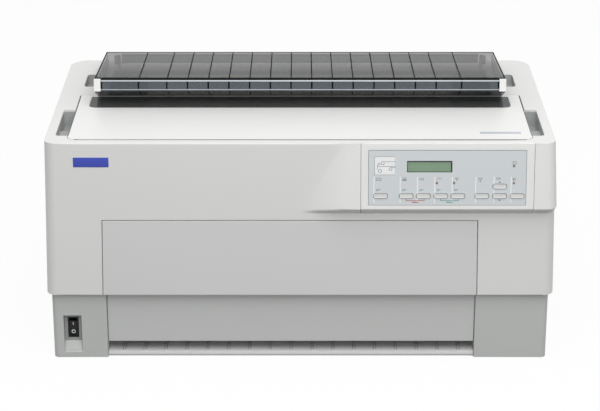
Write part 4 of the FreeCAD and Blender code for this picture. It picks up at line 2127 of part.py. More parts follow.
def check_document():
    """Stops when any object failed or any node is empty or broken."""
    doc.recompute()
    faults = []
    for item in doc.Objects:
        if "Invalid" in item.State or "Error" in item.State:
            users = ", ".join(user.Label for user in item.InList)
            faults.append(f"{item.Label}, used by {users}: {item.getStatusString()}")
    for label, item in NODES.items():
        shape = item.Shape
        if shape.isNull() or not shape.isValid() or not shape.Solids:
            faults.append(f"{label} has no sound solid")
    if faults:
        raise ValueError("; ".join(faults))


def write_steps():
    """Writes every node to its own file."""
    os.makedirs("parts", exist_ok=True)
    for label, item in NODES.items():
        item.Shape.exportStep(f"parts/{label}.step")
        box = item.Shape.BoundBox
        spans = [(box.XMin, box.XMax), (box.YMin, box.YMax), (box.ZMin, box.ZMax)]
        reach = ", ".join(f"{low:.1f} to {high:.1f}" for low, high in spans)
        print(f"{label}: {len(item.Shape.Solids)} solids, {len(item.Shape.Faces)} faces, {reach}")


upper_casing()
lower_housing()
feet_and_screws()
power_switch()
doors()
paper_entry_guide()
printer_cover()
top_cover()
control_panel()
side_frame("left_side_frame", -1)
side_frame("right_side_frame", 1)
motors(*platen_and_gears())
carriage_and_head()
ribbon_cartridge()
tractor_shafts()
for row_name, (row_depth, row_inward) in zip(("front", "rear"), TRACTOR_ROWS):
    for hand_side in (-1, 1):
        tractor(row_name, hand_side, row_depth, row_inward)
paper_guides()
electronics()
check_document()
write_steps()
print(f"{len(NODES)} nodes")
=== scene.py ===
"""Looks for the wide dot matrix printer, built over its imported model."""

import json
import logging
import math
from contextlib import contextmanager
from dataclasses import dataclass, field
from enum import Enum
from functools import cache
from typing import Callable, ClassVar, Iterable, Iterator, Optional, Sequence

import bpy
from mathutils import Matrix, Vector

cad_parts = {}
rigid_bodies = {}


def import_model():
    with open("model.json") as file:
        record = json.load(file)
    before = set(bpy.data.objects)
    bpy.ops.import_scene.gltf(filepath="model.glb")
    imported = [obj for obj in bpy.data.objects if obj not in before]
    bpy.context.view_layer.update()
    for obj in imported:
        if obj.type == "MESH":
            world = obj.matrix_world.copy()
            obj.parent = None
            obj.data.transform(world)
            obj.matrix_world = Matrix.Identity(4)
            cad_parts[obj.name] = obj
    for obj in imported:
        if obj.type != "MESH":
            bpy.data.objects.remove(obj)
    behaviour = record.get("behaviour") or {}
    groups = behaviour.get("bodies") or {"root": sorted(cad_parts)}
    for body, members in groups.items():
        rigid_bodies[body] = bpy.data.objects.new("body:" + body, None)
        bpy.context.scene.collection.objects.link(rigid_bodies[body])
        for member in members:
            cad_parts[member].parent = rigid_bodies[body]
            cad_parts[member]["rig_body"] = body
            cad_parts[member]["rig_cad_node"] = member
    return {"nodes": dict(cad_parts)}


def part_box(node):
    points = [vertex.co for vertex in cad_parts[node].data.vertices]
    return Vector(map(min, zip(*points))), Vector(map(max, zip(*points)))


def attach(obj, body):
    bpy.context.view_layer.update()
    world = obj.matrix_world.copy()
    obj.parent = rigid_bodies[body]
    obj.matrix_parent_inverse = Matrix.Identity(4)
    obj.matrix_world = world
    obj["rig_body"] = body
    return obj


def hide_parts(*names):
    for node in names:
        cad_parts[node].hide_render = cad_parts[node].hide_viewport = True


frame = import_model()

log = logging.getLogger("printer")
Colour = tuple[float, float, float]
Point = tuple[float, float, float]
Pair = tuple[float, float]
Sides = tuple[float, float, float, float]
Piece = bpy.types.Object
Socket = bpy.types.NodeSocket
MM = 0.001
LEVEL = 0.9  # Share of a facet's normal along Z over which it lies level.


class Hand(Enum):
    """Which side of the machine, as the user sits in front of it."""

    LEFT = -1
    RIGHT = 1


class KeyRow(Enum):
    """Which row of the control panel a key sits in, counted up from the lowest."""

    LOWER = 0
    UPPER = 1


class HoodPart(Enum):
    """The hood's materials, by their place in its list: smoked sheet, black painted shade, painted
    reflection on the nose bar and painted shade under the nose.
    """

    SHEET = 0
    BLACK = 1
    NOSE_BAR = 2
    UNDER_NOSE = 3


# ---------------------------------------------------------------- node helpers


class Tree:
    """A material's or group's node tree with short ways to add and link."""

    def __init__(self, tree: bpy.types.NodeTree) -> None:
        """Keep the tree and clear what it starts with."""
        self.tree = tree
        tree.nodes.clear()

    @classmethod
    def effect(cls, name: str, **inputs: float) -> tuple["Tree", dict[str, Socket]]:
        """Start a shader node group that takes Object coordinates.

        Args:
            name: The group's name.
            **inputs: Its float inputs with their defaults.

        Returns:
            The group's tree, and what each of its inputs gives.
        """
        made = cls(bpy.data.node_groups.new(name, "ShaderNodeTree"))
        sockets = made.tree.interface
        sockets.new_socket("Vector", in_out="INPUT", socket_type="NodeSocketVector")
        for label, value in inputs.items():
            sockets.new_socket(label, in_out="INPUT", socket_type="NodeSocketFloat").default_value = value
        given = made.add("NodeGroupInput")
        return made, {label: given.outputs[label] for label in ("Vector", *inputs)}

    def give(self, **outputs: Socket) -> bpy.types.NodeTree:
        """End a shader node group with its float outputs.

        Args:
            **outputs: Each output's name and what feeds it.

        Returns:
            The finished group.
        """
        for label in outputs:
            self.tree.interface.new_socket(label, in_out="OUTPUT", socket_type="NodeSocketFloat")
        self.add("NodeGroupOutput", outputs)
        return self.tree

    def add(self, kind: str, values: Optional[dict] = None, **settings: object) -> bpy.types.Node:
        """Add one node.

        Args:
            kind: Blender's name for the node type.
            values: Input socket name or index to its value or to the socket that feeds it.
            **settings: Properties of the node itself.

        Returns:
            The new node.
        """
        node = self.tree.nodes.new(kind)
        for name, value in settings.items():
            setattr(node, name, value)
        for name, value in (values or {}).items():
            if isinstance(value, Socket):
                self.tree.links.new(value, node.inputs[name])
            else:
                node.inputs[name].default_value = value
        return node

    def noise(self, where: Socket, **values: object) -> Socket:
        """A noise texture's value at a place."""
        return self.add("ShaderNodeTexNoise", {"Vector": where, **values}).outputs[0]

    def maths(self, operation: str, first: object, second: object) -> Socket:
        """One number worked out from two."""
        return self.add("ShaderNodeMath", {0: first, 1: second}, operation=operation).outputs[0]

    def bump(self, height: Socket, distance: float, **values: float) -> Socket:
        """A normal that a height in metres has roughened."""
        return self.add("ShaderNodeBump", {"Height": height, "Distance": distance, **values}).outputs[0]

    def span(self, value: Socket, low: float, high: float) -> Socket:
        """A 0 to 1 mask stretched between two numbers."""
        return self.add("ShaderNodeMapRange", {"Value": value, "To Min": low, "To Max": high}).outputs[0]

    def mix(self, factor: Socket, first: object, second: object) -> Socket:
        """Mix two colours.

        Args:
            factor: How much of the second colour shows, from 0 to 1.
            first: Colour or socket shown at 0.
            second: Colour or socket shown at 1.

        Returns:
            The mixed colour.
        """
        # The node has sockets for every kind of data; its colours are inputs 6 and 7 and output 2.
        ends = [value if isinstance(value, Socket) else (*value, 1.0) for value in (first, second)]
        node = self.add("ShaderNodeMix", {0: factor, 6: ends[0], 7: ends[1]}, data_type="RGBA")
        return node.outputs[2]

    def close(self, shader: bpy.types.Node, output: str = "ShaderNodeOutputMaterial") -> None:
        """Link a shader to the tree's output."""
        self.add(output, {"Surface": shader.outputs[0]})

    def surface(self, shade: Socket, rough: object, values: dict[str, object]) -> None:
        """End a material with its shader.

        Args:
            shade: Its colour.
            rough: Its roughness.
            values: The shader's other inputs.
        """
        values = {"Base Color": shade, "Roughness": rough, **values}
        self.close(self.add("ShaderNodeBsdfPrincipled", values))


@cache
def moulded_grain() -> bpy.types.NodeTree:
    """Make the fine spark-eroded texture of a moulded case, with faint flow clouds.

    Returns:
        The node group.
    """
    tree, given = Tree.effect("MouldedGrain", Scale=900.0)
    where = given["Vector"]
    return tree.give(Shade=tree.noise(where, Scale=5.0, Detail=2.0),
                     Rough=tree.noise(where, Scale=31.0, Detail=4.0, Distortion=0.8),
                     Height=tree.noise(where, Scale=given["Scale"], Detail=3.0, Roughness=0.6))


@cache
def brushing() -> bpy.types.NodeTree:
    """Make the fine lines left along a rolled or ground metal surface.

    Returns:
        The node group.
    """
    tree, given = Tree.effect("Brushing", Along=6.0, Across=700.0)
    along, across = given["Along"], given["Across"]
    join = tree.add("ShaderNodeCombineXYZ", {"X": along, "Y": across, "Z": across})
    stretch = tree.add("ShaderNodeVectorMath", {0: given["Vector"], 1: join.outputs[0]},
                       operation="MULTIPLY")
    blotch = tree.add("ShaderNodeTexVoronoi", {"Vector": given["Vector"], "Scale": 160.0})
    return tree.give(Line=tree.noise(stretch.outputs[0], Scale=1.0, Detail=2.0),
                     Blotch=blotch.outputs["Distance"])


@cache
def settled_dust() -> bpy.types.NodeTree:
    """Make the soft dust that settles on what faces up.

    Returns:
        The node group.
    """
    tree, given = Tree.effect("SettledDust", Amount=0.15)
    up = tree.add("ShaderNodeSeparateXYZ", {0: tree.add("ShaderNodeNewGeometry").outputs["Normal"]})
    flat = tree.add("ShaderNodeMapRange", {"Value": up.outputs["Z"], "From Min": 0.2, "From Max": 1.0})
    specks = tree.noise(given["Vector"], Scale=60.0, Detail=5.0, Roughness=0.7)
    share = tree.maths("MULTIPLY", flat.outputs[0], specks)
    return tree.give(Mask=tree.maths("MULTIPLY", share, given["Amount"]))


# ---------------------------------------------------------------- finishes

DUST_TONE: Colour = (0.45, 0.43, 0.40)
TIN_TONE: Colour = (0.55, 0.56, 0.52)
WHITE_LIGHT: tuple[float, float, float, float] = (1.0, 1.0, 1.0, 1.0)


def tone(colour: Colour, share: float) -> Colour:
    """A colour made lighter or darker."""
    return tuple(min(1.0, part * share) for part in colour)


@dataclass(frozen=True)
class Finish:
    """What every finish has: a name and a way to make its material."""

    name: str

    @cache
    def material(self) -> bpy.types.Material:
        """Build the finish's material, on first use.

        Returns:
            The material.
        """
        made = bpy.data.materials.new(self.name)
        made.use_nodes = True
        tree = Tree(made.node_tree)
        self.fill(tree, tree.add("ShaderNodeTexCoord").outputs["Object"])
        return made

    def fill(self, tree: Tree, where: Socket) -> None:
        """Build the nodes; each finish has its own.

        Args:
            tree: The material's node tree.
            where: Object coordinates, which are metres in the machine's frame.
        """
        raise NotImplementedError


@dataclass(frozen=True)
class MouldedPlastic(Finish):
    """Textured or satin ABS, as cases and knobs are moulded in."""

    colour: Colour = (0.8, 0.8, 0.8)
    roughness: float = 0.45
    drift: float = 0.03
    dust: float = 0.0
    gloss: float = 0.5
    depth: float = 0.000008

    def fill(self, tree: Tree, where: Socket) -> None:
        """Grain, faint colour drift and uneven gloss over a plain plastic.

        Args:
            tree: The material's node tree.
            where: Object coordinates.
        """
        grain = tree.add("ShaderNodeGroup", {"Vector": where}, node_tree=moulded_grain()).outputs
        shade = tree.mix(grain["Shade"], tone(self.colour, 1 - self.drift),
                         tone(self.colour, 1 + self.drift / 2))
        if self.dust:
            dust = tree.add("ShaderNodeGroup", {"Vector": where, "Amount": self.dust},
                            node_tree=settled_dust())
            shade = tree.mix(dust.outputs["Mask"], shade, DUST_TONE)
        rough = tree.span(grain["Rough"], self.roughness - 0.06, self.roughness + 0.08)
        tree.surface(shade, rough, {"Normal": tree.bump(grain["Height"], self.depth, Strength=0.6),
                                    "Specular IOR Level": self.gloss})


@dataclass(frozen=True)
class SmokedPlastic(Finish):
    """Tinted see-through acrylic."""

    tint: Colour = (0.2, 0.2, 0.2)
    clear: float = 0.45
    roughness: float = 0.06
    gloss: float = 0.15

    def fill(self, tree: Tree, where: Socket) -> None:
        """A tinted gloss sheet that lets part of the light through in straight lines.

        Args:
            tree: The material's node tree.
            where: Object coordinates.
        """
        smears = tree.noise(where, Scale=14.0, Detail=4.0, Distortion=0.6)
        ripple = tree.noise(where, Scale=9.0, Detail=0.0)
        tree.surface(tree.mix(smears, self.tint, tone(self.tint, 1.15)),
                     tree.span(smears, self.roughness, self.roughness + 0.02),
                     {"Normal": tree.bump(ripple, 0.0001, Strength=0.05), "Alpha": 1 - self.clear,
                      "IOR": 1.49, "Specular IOR Level": self.gloss})


@dataclass(frozen=True)
class RolledSteel(Finish):
    """Zinc-plated or ground steel."""

    colour: Colour = (0.6, 0.61, 0.62)
    roughness: float = 0.32

    def fill(self, tree: Tree, where: Socket) -> None:
        """Brush lines in the roughness and a faint blotched plating colour.

        Args:
            tree: The material's node tree.
            where: Object coordinates.
        """
        lines = tree.add("ShaderNodeGroup", {"Vector": where}, node_tree=brushing()).outputs
        tree.surface(tree.mix(lines["Blotch"], self.colour, tone(self.colour, 0.8)),
                     tree.span(lines["Line"], self.roughness - 0.08, self.roughness + 0.12),
                     {"Normal": tree.bump(lines["Line"], 0.00002), "Metallic": 1.0})


@dataclass(frozen=True)
class MouldedRubber(Finish):
    """Matt black rubber with a fine ground surface."""

    colour: Colour = (0.03, 0.03, 0.03)
    ring: float = 900.0

    def fill(self, tree: Tree, where: Socket) -> None:
        """Ground rings, grime and a soft sheen.

        Args:
            tree: The material's node tree.
            where: Object coordinates.
        """
        rings = tree.add("ShaderNodeTexWave", {"Vector": where, "Scale": self.ring, "Distortion": 1.5,
                                               "Detail": 2.0})
        grime = tree.noise(where, Scale=45.0, Detail=5.0)
        tree.surface(tree.mix(grime, self.colour, tuple(part * 1.8 + 0.01 for part in self.colour)),
                     tree.span(grime, 0.62, 0.85), {"Normal": tree.bump(rings.outputs[0], 0.00004)})


@dataclass(frozen=True)
class CircuitBoard(Finish):
    """Green solder mask with copper tracks under it."""

    mask: Colour = (0.02, 0.13, 0.05)
    track: Colour = (0.04, 0.22, 0.08)

    def fill(self, tree: Tree, where: Socket) -> None:
        """Stepped tracks from a brick pattern and tinned dots from cells.

        Args:
            tree: The material's node tree.
            where: Object coordinates.
        """
        flat = tree.add("ShaderNodeMapping", {"Vector": where, "Scale": (1.0, 1.0, 0.0)}).outputs[0]
        tracks = tree.add("ShaderNodeTexBrick", {"Vector": flat, "Scale": 55.0, "Mortar Size": 0.03,
                                                 "Color1": (0, 0, 0, 1), "Color2": (0, 0, 0, 1),
                                                 "Mortar": (1, 1, 1, 1)},
                          offset=0.37, squash=0.6).outputs[0]
        dots = tree.add("ShaderNodeTexVoronoi", {"Vector": flat, "Scale": 190.0})
        pads = tree.maths("LESS_THAN", dots.outputs["Distance"], 0.16)
        green = tree.mix(tracks, self.mask, self.track)
        tree.surface(tree.mix(pads, green, TIN_TONE), 0.3,
                     {"Metallic": pads, "Normal": tree.bump(tracks, 0.00005)})


@dataclass(frozen=True)
class CastAlloy(Finish):
    """Dark painted or bare cast metal with a sandy surface."""

    colour: Colour = (0.12, 0.12, 0.13)
    metallic: float = 0.6
    roughness: float = 0.5

    def fill(self, tree: Tree, where: Socket) -> None:
        """Sandy bump and scuffed colour.

        Args:
            tree: The material's node tree.
            where: Object coordinates.
        """
        sand = tree.noise(where, Scale=1100.0, Detail=3.0)
        scuffs = tree.noise(where, Scale=70.0, Detail=6.0, Roughness=0.75)
        tree.surface(tree.mix(scuffs, self.colour, tone(self.colour, 1.7)),
                     tree.span(scuffs, self.roughness - 0.1, self.roughness + 0.2),
                     {"Normal": tree.bump(sand, 0.00006), "Metallic": self.metallic})


@dataclass(frozen=True)
class DisplayGlass(Finish):
    """An unlit character display: sage green with the cells' faint grid."""

    colour: Colour = (0.20, 0.32, 0.20)

    def fill(self, tree: Tree, where: Socket) -> None:
        """A fine cell grid under a glossy cover.

        Args:
            tree: The material's node tree.
            where: Object coordinates.
        """
        cells = tree.add("ShaderNodeTexBrick", {"Vector": where, "Scale": 260.0, "Mortar Size": 0.02,
                                                "Color1": (1, 1, 1, 1), "Color2": (0.9, 0.9, 0.9, 1),
                                                "Mortar": (0.5, 0.5, 0.5, 1)}, offset=0.0)
        base = tree.mix(tree.noise(where, Scale=20.0), tone(self.colour, 0.9), tone(self.colour, 1.1))
        tree.surface(tree.mix(cells.outputs[0], tone(self.colour, 0.86), base), 0.35, {"Coat Weight": 0.6})


CASE = MouldedPlastic("case_plastic", (0.815, 0.815, 0.80), 0.42, drift=0.02, dust=0.05)
# Painted light: the printer cover is the casing's white made lighter, standing in for the extra light on
# its upper face.
LID_LIT = MouldedPlastic("lid_painted_light", (0.88, 0.88, 0.87), 0.42, drift=0.02, dust=0.05)
DOOR = MouldedPlastic("door_plastic", (0.735, 0.745, 0.735), 0.45, drift=0.02, dust=0.05)
# Painted shade: the front cover's recessed lower part is of the door's plastic, made darker where less
# light falls.
DOOR_STEP_SHADE = MouldedPlastic("door_step_painted_shade", (0.63, 0.64, 0.63), 0.45, drift=0.02, dust=0.05)
BASE = MouldedPlastic("base_plastic", (0.575, 0.59, 0.575), 0.5, dust=0.08)
PANEL = MouldedPlastic("panel_plastic", (0.835, 0.835, 0.82), 0.42, drift=0.02)
# Painted light: the paper entry guide's own light grey is made lighter still, standing in for the light
# that its deep slot keeps from it.
SLOT_LIGHTENED = MouldedPlastic("slot_painted_light", (0.88, 0.89, 0.88), 0.5, dust=0.12)
# Painted shade: the entry guide's ribs are darker than its plate, standing in for the shade at their sides.
GUIDE_RIB_SHADE = MouldedPlastic("guide_rib_painted_shade", (0.52, 0.53, 0.525), 0.5)
# Painted shade: the finger wells are of the casing's plastic, painted grey for the shade inside them.
WELL_SHADE = MouldedPlastic("well_painted_shade", (0.44, 0.455, 0.45), 0.5, dust=0.1)
# Painted shade: the power switch's recess is of the base's plastic, painted darker for the shade inside it.
RECESS_SHADE = MouldedPlastic("recess_painted_shade", (0.34, 0.355, 0.345), 0.5)
# Painted shade: the printer cover's outer sides are painted near black for the shade in the seam round it.
SEAM_SHADE = MouldedPlastic("seam_painted_shade", (0.05, 0.052, 0.05), 0.6, gloss=0.1)
WHITE = MouldedPlastic("cap_plastic", (0.86, 0.86, 0.85), 0.3, drift=0.02)
KEY = MouldedPlastic("key_plastic", (0.73, 0.73, 0.72), 0.35, drift=0.02)
LAMP = MouldedPlastic("lamp_lens", (0.30, 0.20, 0.13), 0.15, drift=0.1)
# Painted shade: near black on the hood's ribs, edge bands and the gaps by its end caps, which are of the
# smoked acrylic and only look dark.
RIB_SHADE = MouldedPlastic("rib_painted_shade", (0.006, 0.007, 0.008), 0.7, drift=0.05, gloss=0.02)
BLACK = MouldedPlastic("satin_black", (0.012, 0.012, 0.013), 0.4, drift=0.1, gloss=0.25)
TRACTOR = MouldedPlastic("tractor_black", (0.03, 0.03, 0.033), 0.4, drift=0.1, dust=0.2)
NYLON = MouldedPlastic("natural_nylon", (0.74, 0.72, 0.62), 0.38, drift=0.04, dust=0.1)
CREAM = MouldedPlastic("painted_guide", (0.84, 0.79, 0.70), 0.45, drift=0.04, dust=0.15)
BLUE_PLATE = MouldedPlastic("blue_plate", (0.045, 0.075, 0.50), 0.3, drift=0.06)
STRIP = MouldedPlastic("name_strip", (0.52, 0.55, 0.60), 0.35, drift=0.02)
FILM = MouldedPlastic("printed_film", (0.655, 0.69, 0.705), 0.38, drift=0.015, depth=0.000004)
INK = MouldedPlastic("legend_ink", (0.10, 0.11, 0.12), 0.5, drift=0.05)
GREY_INK = MouldedPlastic("grey_ink", (0.25, 0.26, 0.27), 0.5, drift=0.05)
WHITE_INK = MouldedPlastic("white_ink", (0.88, 0.89, 0.89), 0.4, drift=0.02)
RED_INK = MouldedPlastic("red_ink", (0.42, 0.06, 0.09), 0.5, drift=0.05)
TEAL_INK = MouldedPlastic("teal_ink", (0.05, 0.30, 0.30), 0.5, drift=0.05)
SMOKE = SmokedPlastic("smoked_acrylic", (0.080, 0.084, 0.084), clear=0.45, roughness=0.05, gloss=0.1)
DARK_SMOKE = SmokedPlastic("window_acrylic", (0.080, 0.085, 0.085), clear=0.22, roughness=0.05)
# Painted reflection: the nose face is its own smoked acrylic made lighter and bluer, standing in for the
# bright room that it reflects.
NOSE_REFLECTION = SmokedPlastic("nose_painted_reflection", (0.095, 0.11, 0.125), clear=0.3, roughness=0.08, gloss=0.3)
# Painted shade: the nose's lower face is the smoked acrylic made darker and less clear, as it lies in
# shade.
LOW_NOSE_SHADE = SmokedPlastic("under_nose_painted_shade", (0.042, 0.050, 0.054), clear=0.08, roughness=0.12,
                         gloss=0.08)
# Painted highlights: light grey, nearly opaque rods along the nose and toe stand in for their edges
# catching the light.
HIGHLIGHT_BEAD = SmokedPlastic("edge_painted_highlight", (0.60, 0.64, 0.67), clear=0.05, roughness=0.1)
LOW_HIGHLIGHT_BEAD = SmokedPlastic("low_bead_painted_highlight", (0.40, 0.43, 0.46), clear=0.05, roughness=0.1)
RUBBER = MouldedRubber("black_rubber")
PLATEN = MouldedRubber("platen_rubber", (0.022, 0.022, 0.024), ring=1600.0)
ZINC = RolledSteel("zinc_steel", (0.56, 0.57, 0.58), roughness=0.38)
GROUND = RolledSteel("ground_steel", (0.66, 0.66, 0.67), roughness=0.18)
MOTOR = CastAlloy("motor_paint", (0.03, 0.03, 0.032), metallic=0.3)
ALLOY = CastAlloy("cast_alloy", (0.16, 0.165, 0.17), metallic=0.85, roughness=0.4)
BOARD = CircuitBoard("circuit_board")
GLASS = DisplayGlass("display_green")

NODE_FINISHES: dict[str, Finish] = {node: finish for finish, nodes in (
    (CASE, "upper_casing"), (LID_LIT, "printer_cover"), (PANEL, "control_panel_housing"),
    (DOOR, "front_cover rear_cover"), (BASE, "lower_housing"), (SLOT_LIGHTENED, "paper_entry_guide"),
    (WHITE, "nose_end_caps"), (SMOKE, "top_cover"), (DARK_SMOKE, "cover_window"), (FILM, "panel_overlay"),
    (GLASS, "lcd_display"), (BOARD, "panel_board main_board"), (RUBBER, "rubber_feet carriage_belt"),
    (BLACK, "power_switch_body power_rocker mains_inlet ribbon_cartridge"), (PLATEN, "platen"),
    (NYLON, "platen_gear"), (MOTOR, "drive_motors"), (CREAM, "paper_exit_guide"),
    (ALLOY, "carriage print_head"),
    (ZINC, "left_side_frame right_side_frame housing_screws power_supply"
           " front_paper_guide rear_paper_guide"),
    (GROUND, "motor_pinion carriage_rails front_tractor_shaft rear_tractor_shaft tractor_support_rods"
             " drive_pulley idler_pulley"),
) for node in nodes.split()}
ENDING_FINISHES: dict[str, Finish] = {"key": KEY, "sprocket": NYLON, "tractor": TRACTOR, "flap": TRACTOR}


def finish_of(node: str) -> Finish:
    """A CAD node's finish, by its name or by the ending that it shares with others."""
    return NODE_FINISHES.get(node) or ENDING_FINISHES[node.rsplit("_", 1)[1]]


# ---------------------------------------------------------------- modelling helpers


class Bench:
    """Hand-modelling steps that the pieces share."""

    @staticmethod
    def clear() -> None:
        """Leave edit mode and deselect everything."""
        if bpy.context.object is not None and bpy.context.object.mode != "OBJECT":
            bpy.ops.object.mode_set(mode="OBJECT")
        bpy.ops.object.select_all(action="DESELECT")

    @classmethod
    def hold(cls, piece: Piece) -> None:
        """Make a piece the one that the next steps work on.

        Args:
            piece: The piece.
        """
        cls.clear()
        piece.select_set(True)
        bpy.context.view_layer.objects.active = piece

    @classmethod
    @contextmanager
    def editing(cls, piece: Piece) -> Iterator[None]:
        """Work in edit mode, with all of a piece selected.

        Args:
            piece: The piece to edit.

        Yields:
            Nothing; the steps in the block work on the piece.
        """
        cls.hold(piece)
        bpy.ops.object.mode_set(mode="EDIT")
        bpy.ops.mesh.select_all(action="SELECT")
        yield
        bpy.ops.object.mode_set(mode="OBJECT")

    @classmethod
    @contextmanager
    def picking(cls, piece: Piece, mode: str, test: Callable[[object], bool]) -> Iterator[None]:
        """Work in edit mode, with chosen faces or edges of a piece selected.

        Args:
            piece: The piece to edit.
            mode: FACE or EDGE.
            test: Says for each face or edge whether it is chosen.

        Yields:
            Nothing; the steps in the block work on what is chosen.
        """
        cls.hold(piece)
        bpy.ops.object.mode_set(mode="EDIT")
        bpy.ops.mesh.select_mode(type=mode)
        bpy.ops.mesh.select_all(action="DESELECT")
        bpy.ops.object.mode_set(mode="OBJECT")
        for part in piece.data.polygons if mode == "FACE" else piece.data.edges:
            part.select = test(part)
        bpy.ops.object.mode_set(mode="EDIT")
        yield
        bpy.ops.object.mode_set(mode="OBJECT")

    @classmethod
    def settle(cls, name: str) -> Piece:
        """Name the active piece and put its place into its mesh.

        Args:
            name: The piece's name.

        Returns:
            The piece.
        """
        piece = bpy.context.object
        piece.name = piece.data.name = name
        bpy.ops.object.transform_apply(location=True, rotation=True, scale=True)
        return piece

    @classmethod
    def block(cls, name: str, low: Point, high: Point) -> Piece:
        """Start a piece as a box.

        Args:
            name: The piece's name.
            low: Its lowest corner in millimetres.
            high: Its highest corner in millimetres.

        Returns:
            The piece, with its place in its mesh.
        """
        cls.clear()
        centre = [(a + b) / 2 * MM for a, b in zip(low, high)]
        size = [(b - a) * MM for a, b in zip(low, high)]
        bpy.ops.mesh.primitive_cube_add(size=1, location=centre, scale=size)
        return cls.settle(name)

    @classmethod
    def drum(cls, name: str, radius: float, length: float, sides: int) -> Piece:
        """Start a piece as a cylinder or prism that stands on the origin along Z.

        Args:
            name: The piece's name.
            radius: Its radius in millimetres.
            length: Its height in millimetres.
            sides: How many sides it has.

        Returns:
            The piece.
        """
        cls.clear()
        bpy.ops.mesh.primitive_cylinder_add(vertices=sides, radius=radius * MM, depth=length * MM,
                                            location=(0, 0, length / 2 * MM))
        return cls.settle(name)

    @classmethod
    def ring(cls, name: str, radius: float, line: float, flat: float, facets: tuple[int, int]) -> Piece:
        """Start a piece as a flattened ring round Z.

        Args:
            name: The piece's name.
            radius: Its radius, to the middle of its line, in millimetres.
            line: Half its line's width in millimetres.
            flat: Its height as a share of its line's width.
            facets: How many facets it has round the ring and round the line.

        Returns:
            The piece.
        """
        cls.clear()
        bpy.ops.mesh.primitive_torus_add(major_radius=radius * MM, minor_radius=line * MM,
                                         major_segments=facets[0], minor_segments=facets[1])
        piece = cls.settle(name)
        piece.data.transform(Matrix.Diagonal((1.0, 1.0, flat, 1.0)))
        return piece

    @classmethod
    def modify(cls, piece: Piece, kind: str, **settings: object) -> Piece:
        """Add a modifier and apply it.

        Args:
            piece: The piece to change.
            kind: The modifier's type.
            **settings: Its settings.

        Returns:
            The same piece.
        """
        cls.hold(piece)
        modifier = piece.modifiers.new(kind.title(), kind)
        for key, value in settings.items():
            setattr(modifier, key, value)
        bpy.ops.object.modifier_apply(modifier=modifier.name)
        return piece

    @classmethod
    def soften(cls, piece: Piece, width: float, segments: int = 2, angle: float = 35.0) -> None:
        """Round a piece's edges and shade it smooth between them.

        Args:
            piece: The piece to round.
            width: The rounding in millimetres.
            segments: Facets of each rounding.
            angle: Edges sharper than this many degrees are rounded.
        """
        cls.modify(piece, "BEVEL", width=width * MM, segments=segments, limit_method="ANGLE",
                   angle_limit=math.radians(angle), harden_normals=False)
        cls.smooth(piece)

    @classmethod
    def smooth(cls, piece: Piece, angle: float = 40.0) -> None:
        """Shade smooth between facets that meet at less than an angle in degrees."""
        cls.hold(piece)
        bpy.ops.object.shade_smooth_by_angle(angle=math.radians(angle))

    @staticmethod
    def twin(piece: Piece, name: str) -> Piece:
        """Copy a piece with its own mesh.

        Args:
            piece: What to copy.
            name: The copy's name.

        Returns:
            The copy.
        """
        made = piece.copy()
        made.data = piece.data.copy()
        bpy.context.scene.collection.objects.link(made)
        made.name = made.data.name = name
        return made

    @classmethod
    def join(cls, name: str, pieces: Sequence[Piece]) -> Piece:
        """Join loose pieces into one object.

        Args:
            name: The joined piece's name.
            pieces: What to join.

        Returns:
            The joined piece.
        """
        cls.clear()
        for piece in pieces:
            piece.select_set(True)
        bpy.context.view_layer.objects.active = pieces[0]
        if len(pieces) > 1:
            bpy.ops.object.join()
        return cls.settle(name)

    @staticmethod
    def dress(piece: Piece, finish: Finish, body: str, slot: str) -> None:
        """Give a new piece its finish and its body.

        Args:
            piece: The finished piece.
            finish: Its finish.
            body: The CAD body that it moves with.
            slot: The record's material slot; not used.
        """
        piece.data.materials.clear()
        piece.data.materials.append(finish.material())
        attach(piece, body)


# ---------------------------------------------------------------- softened twins


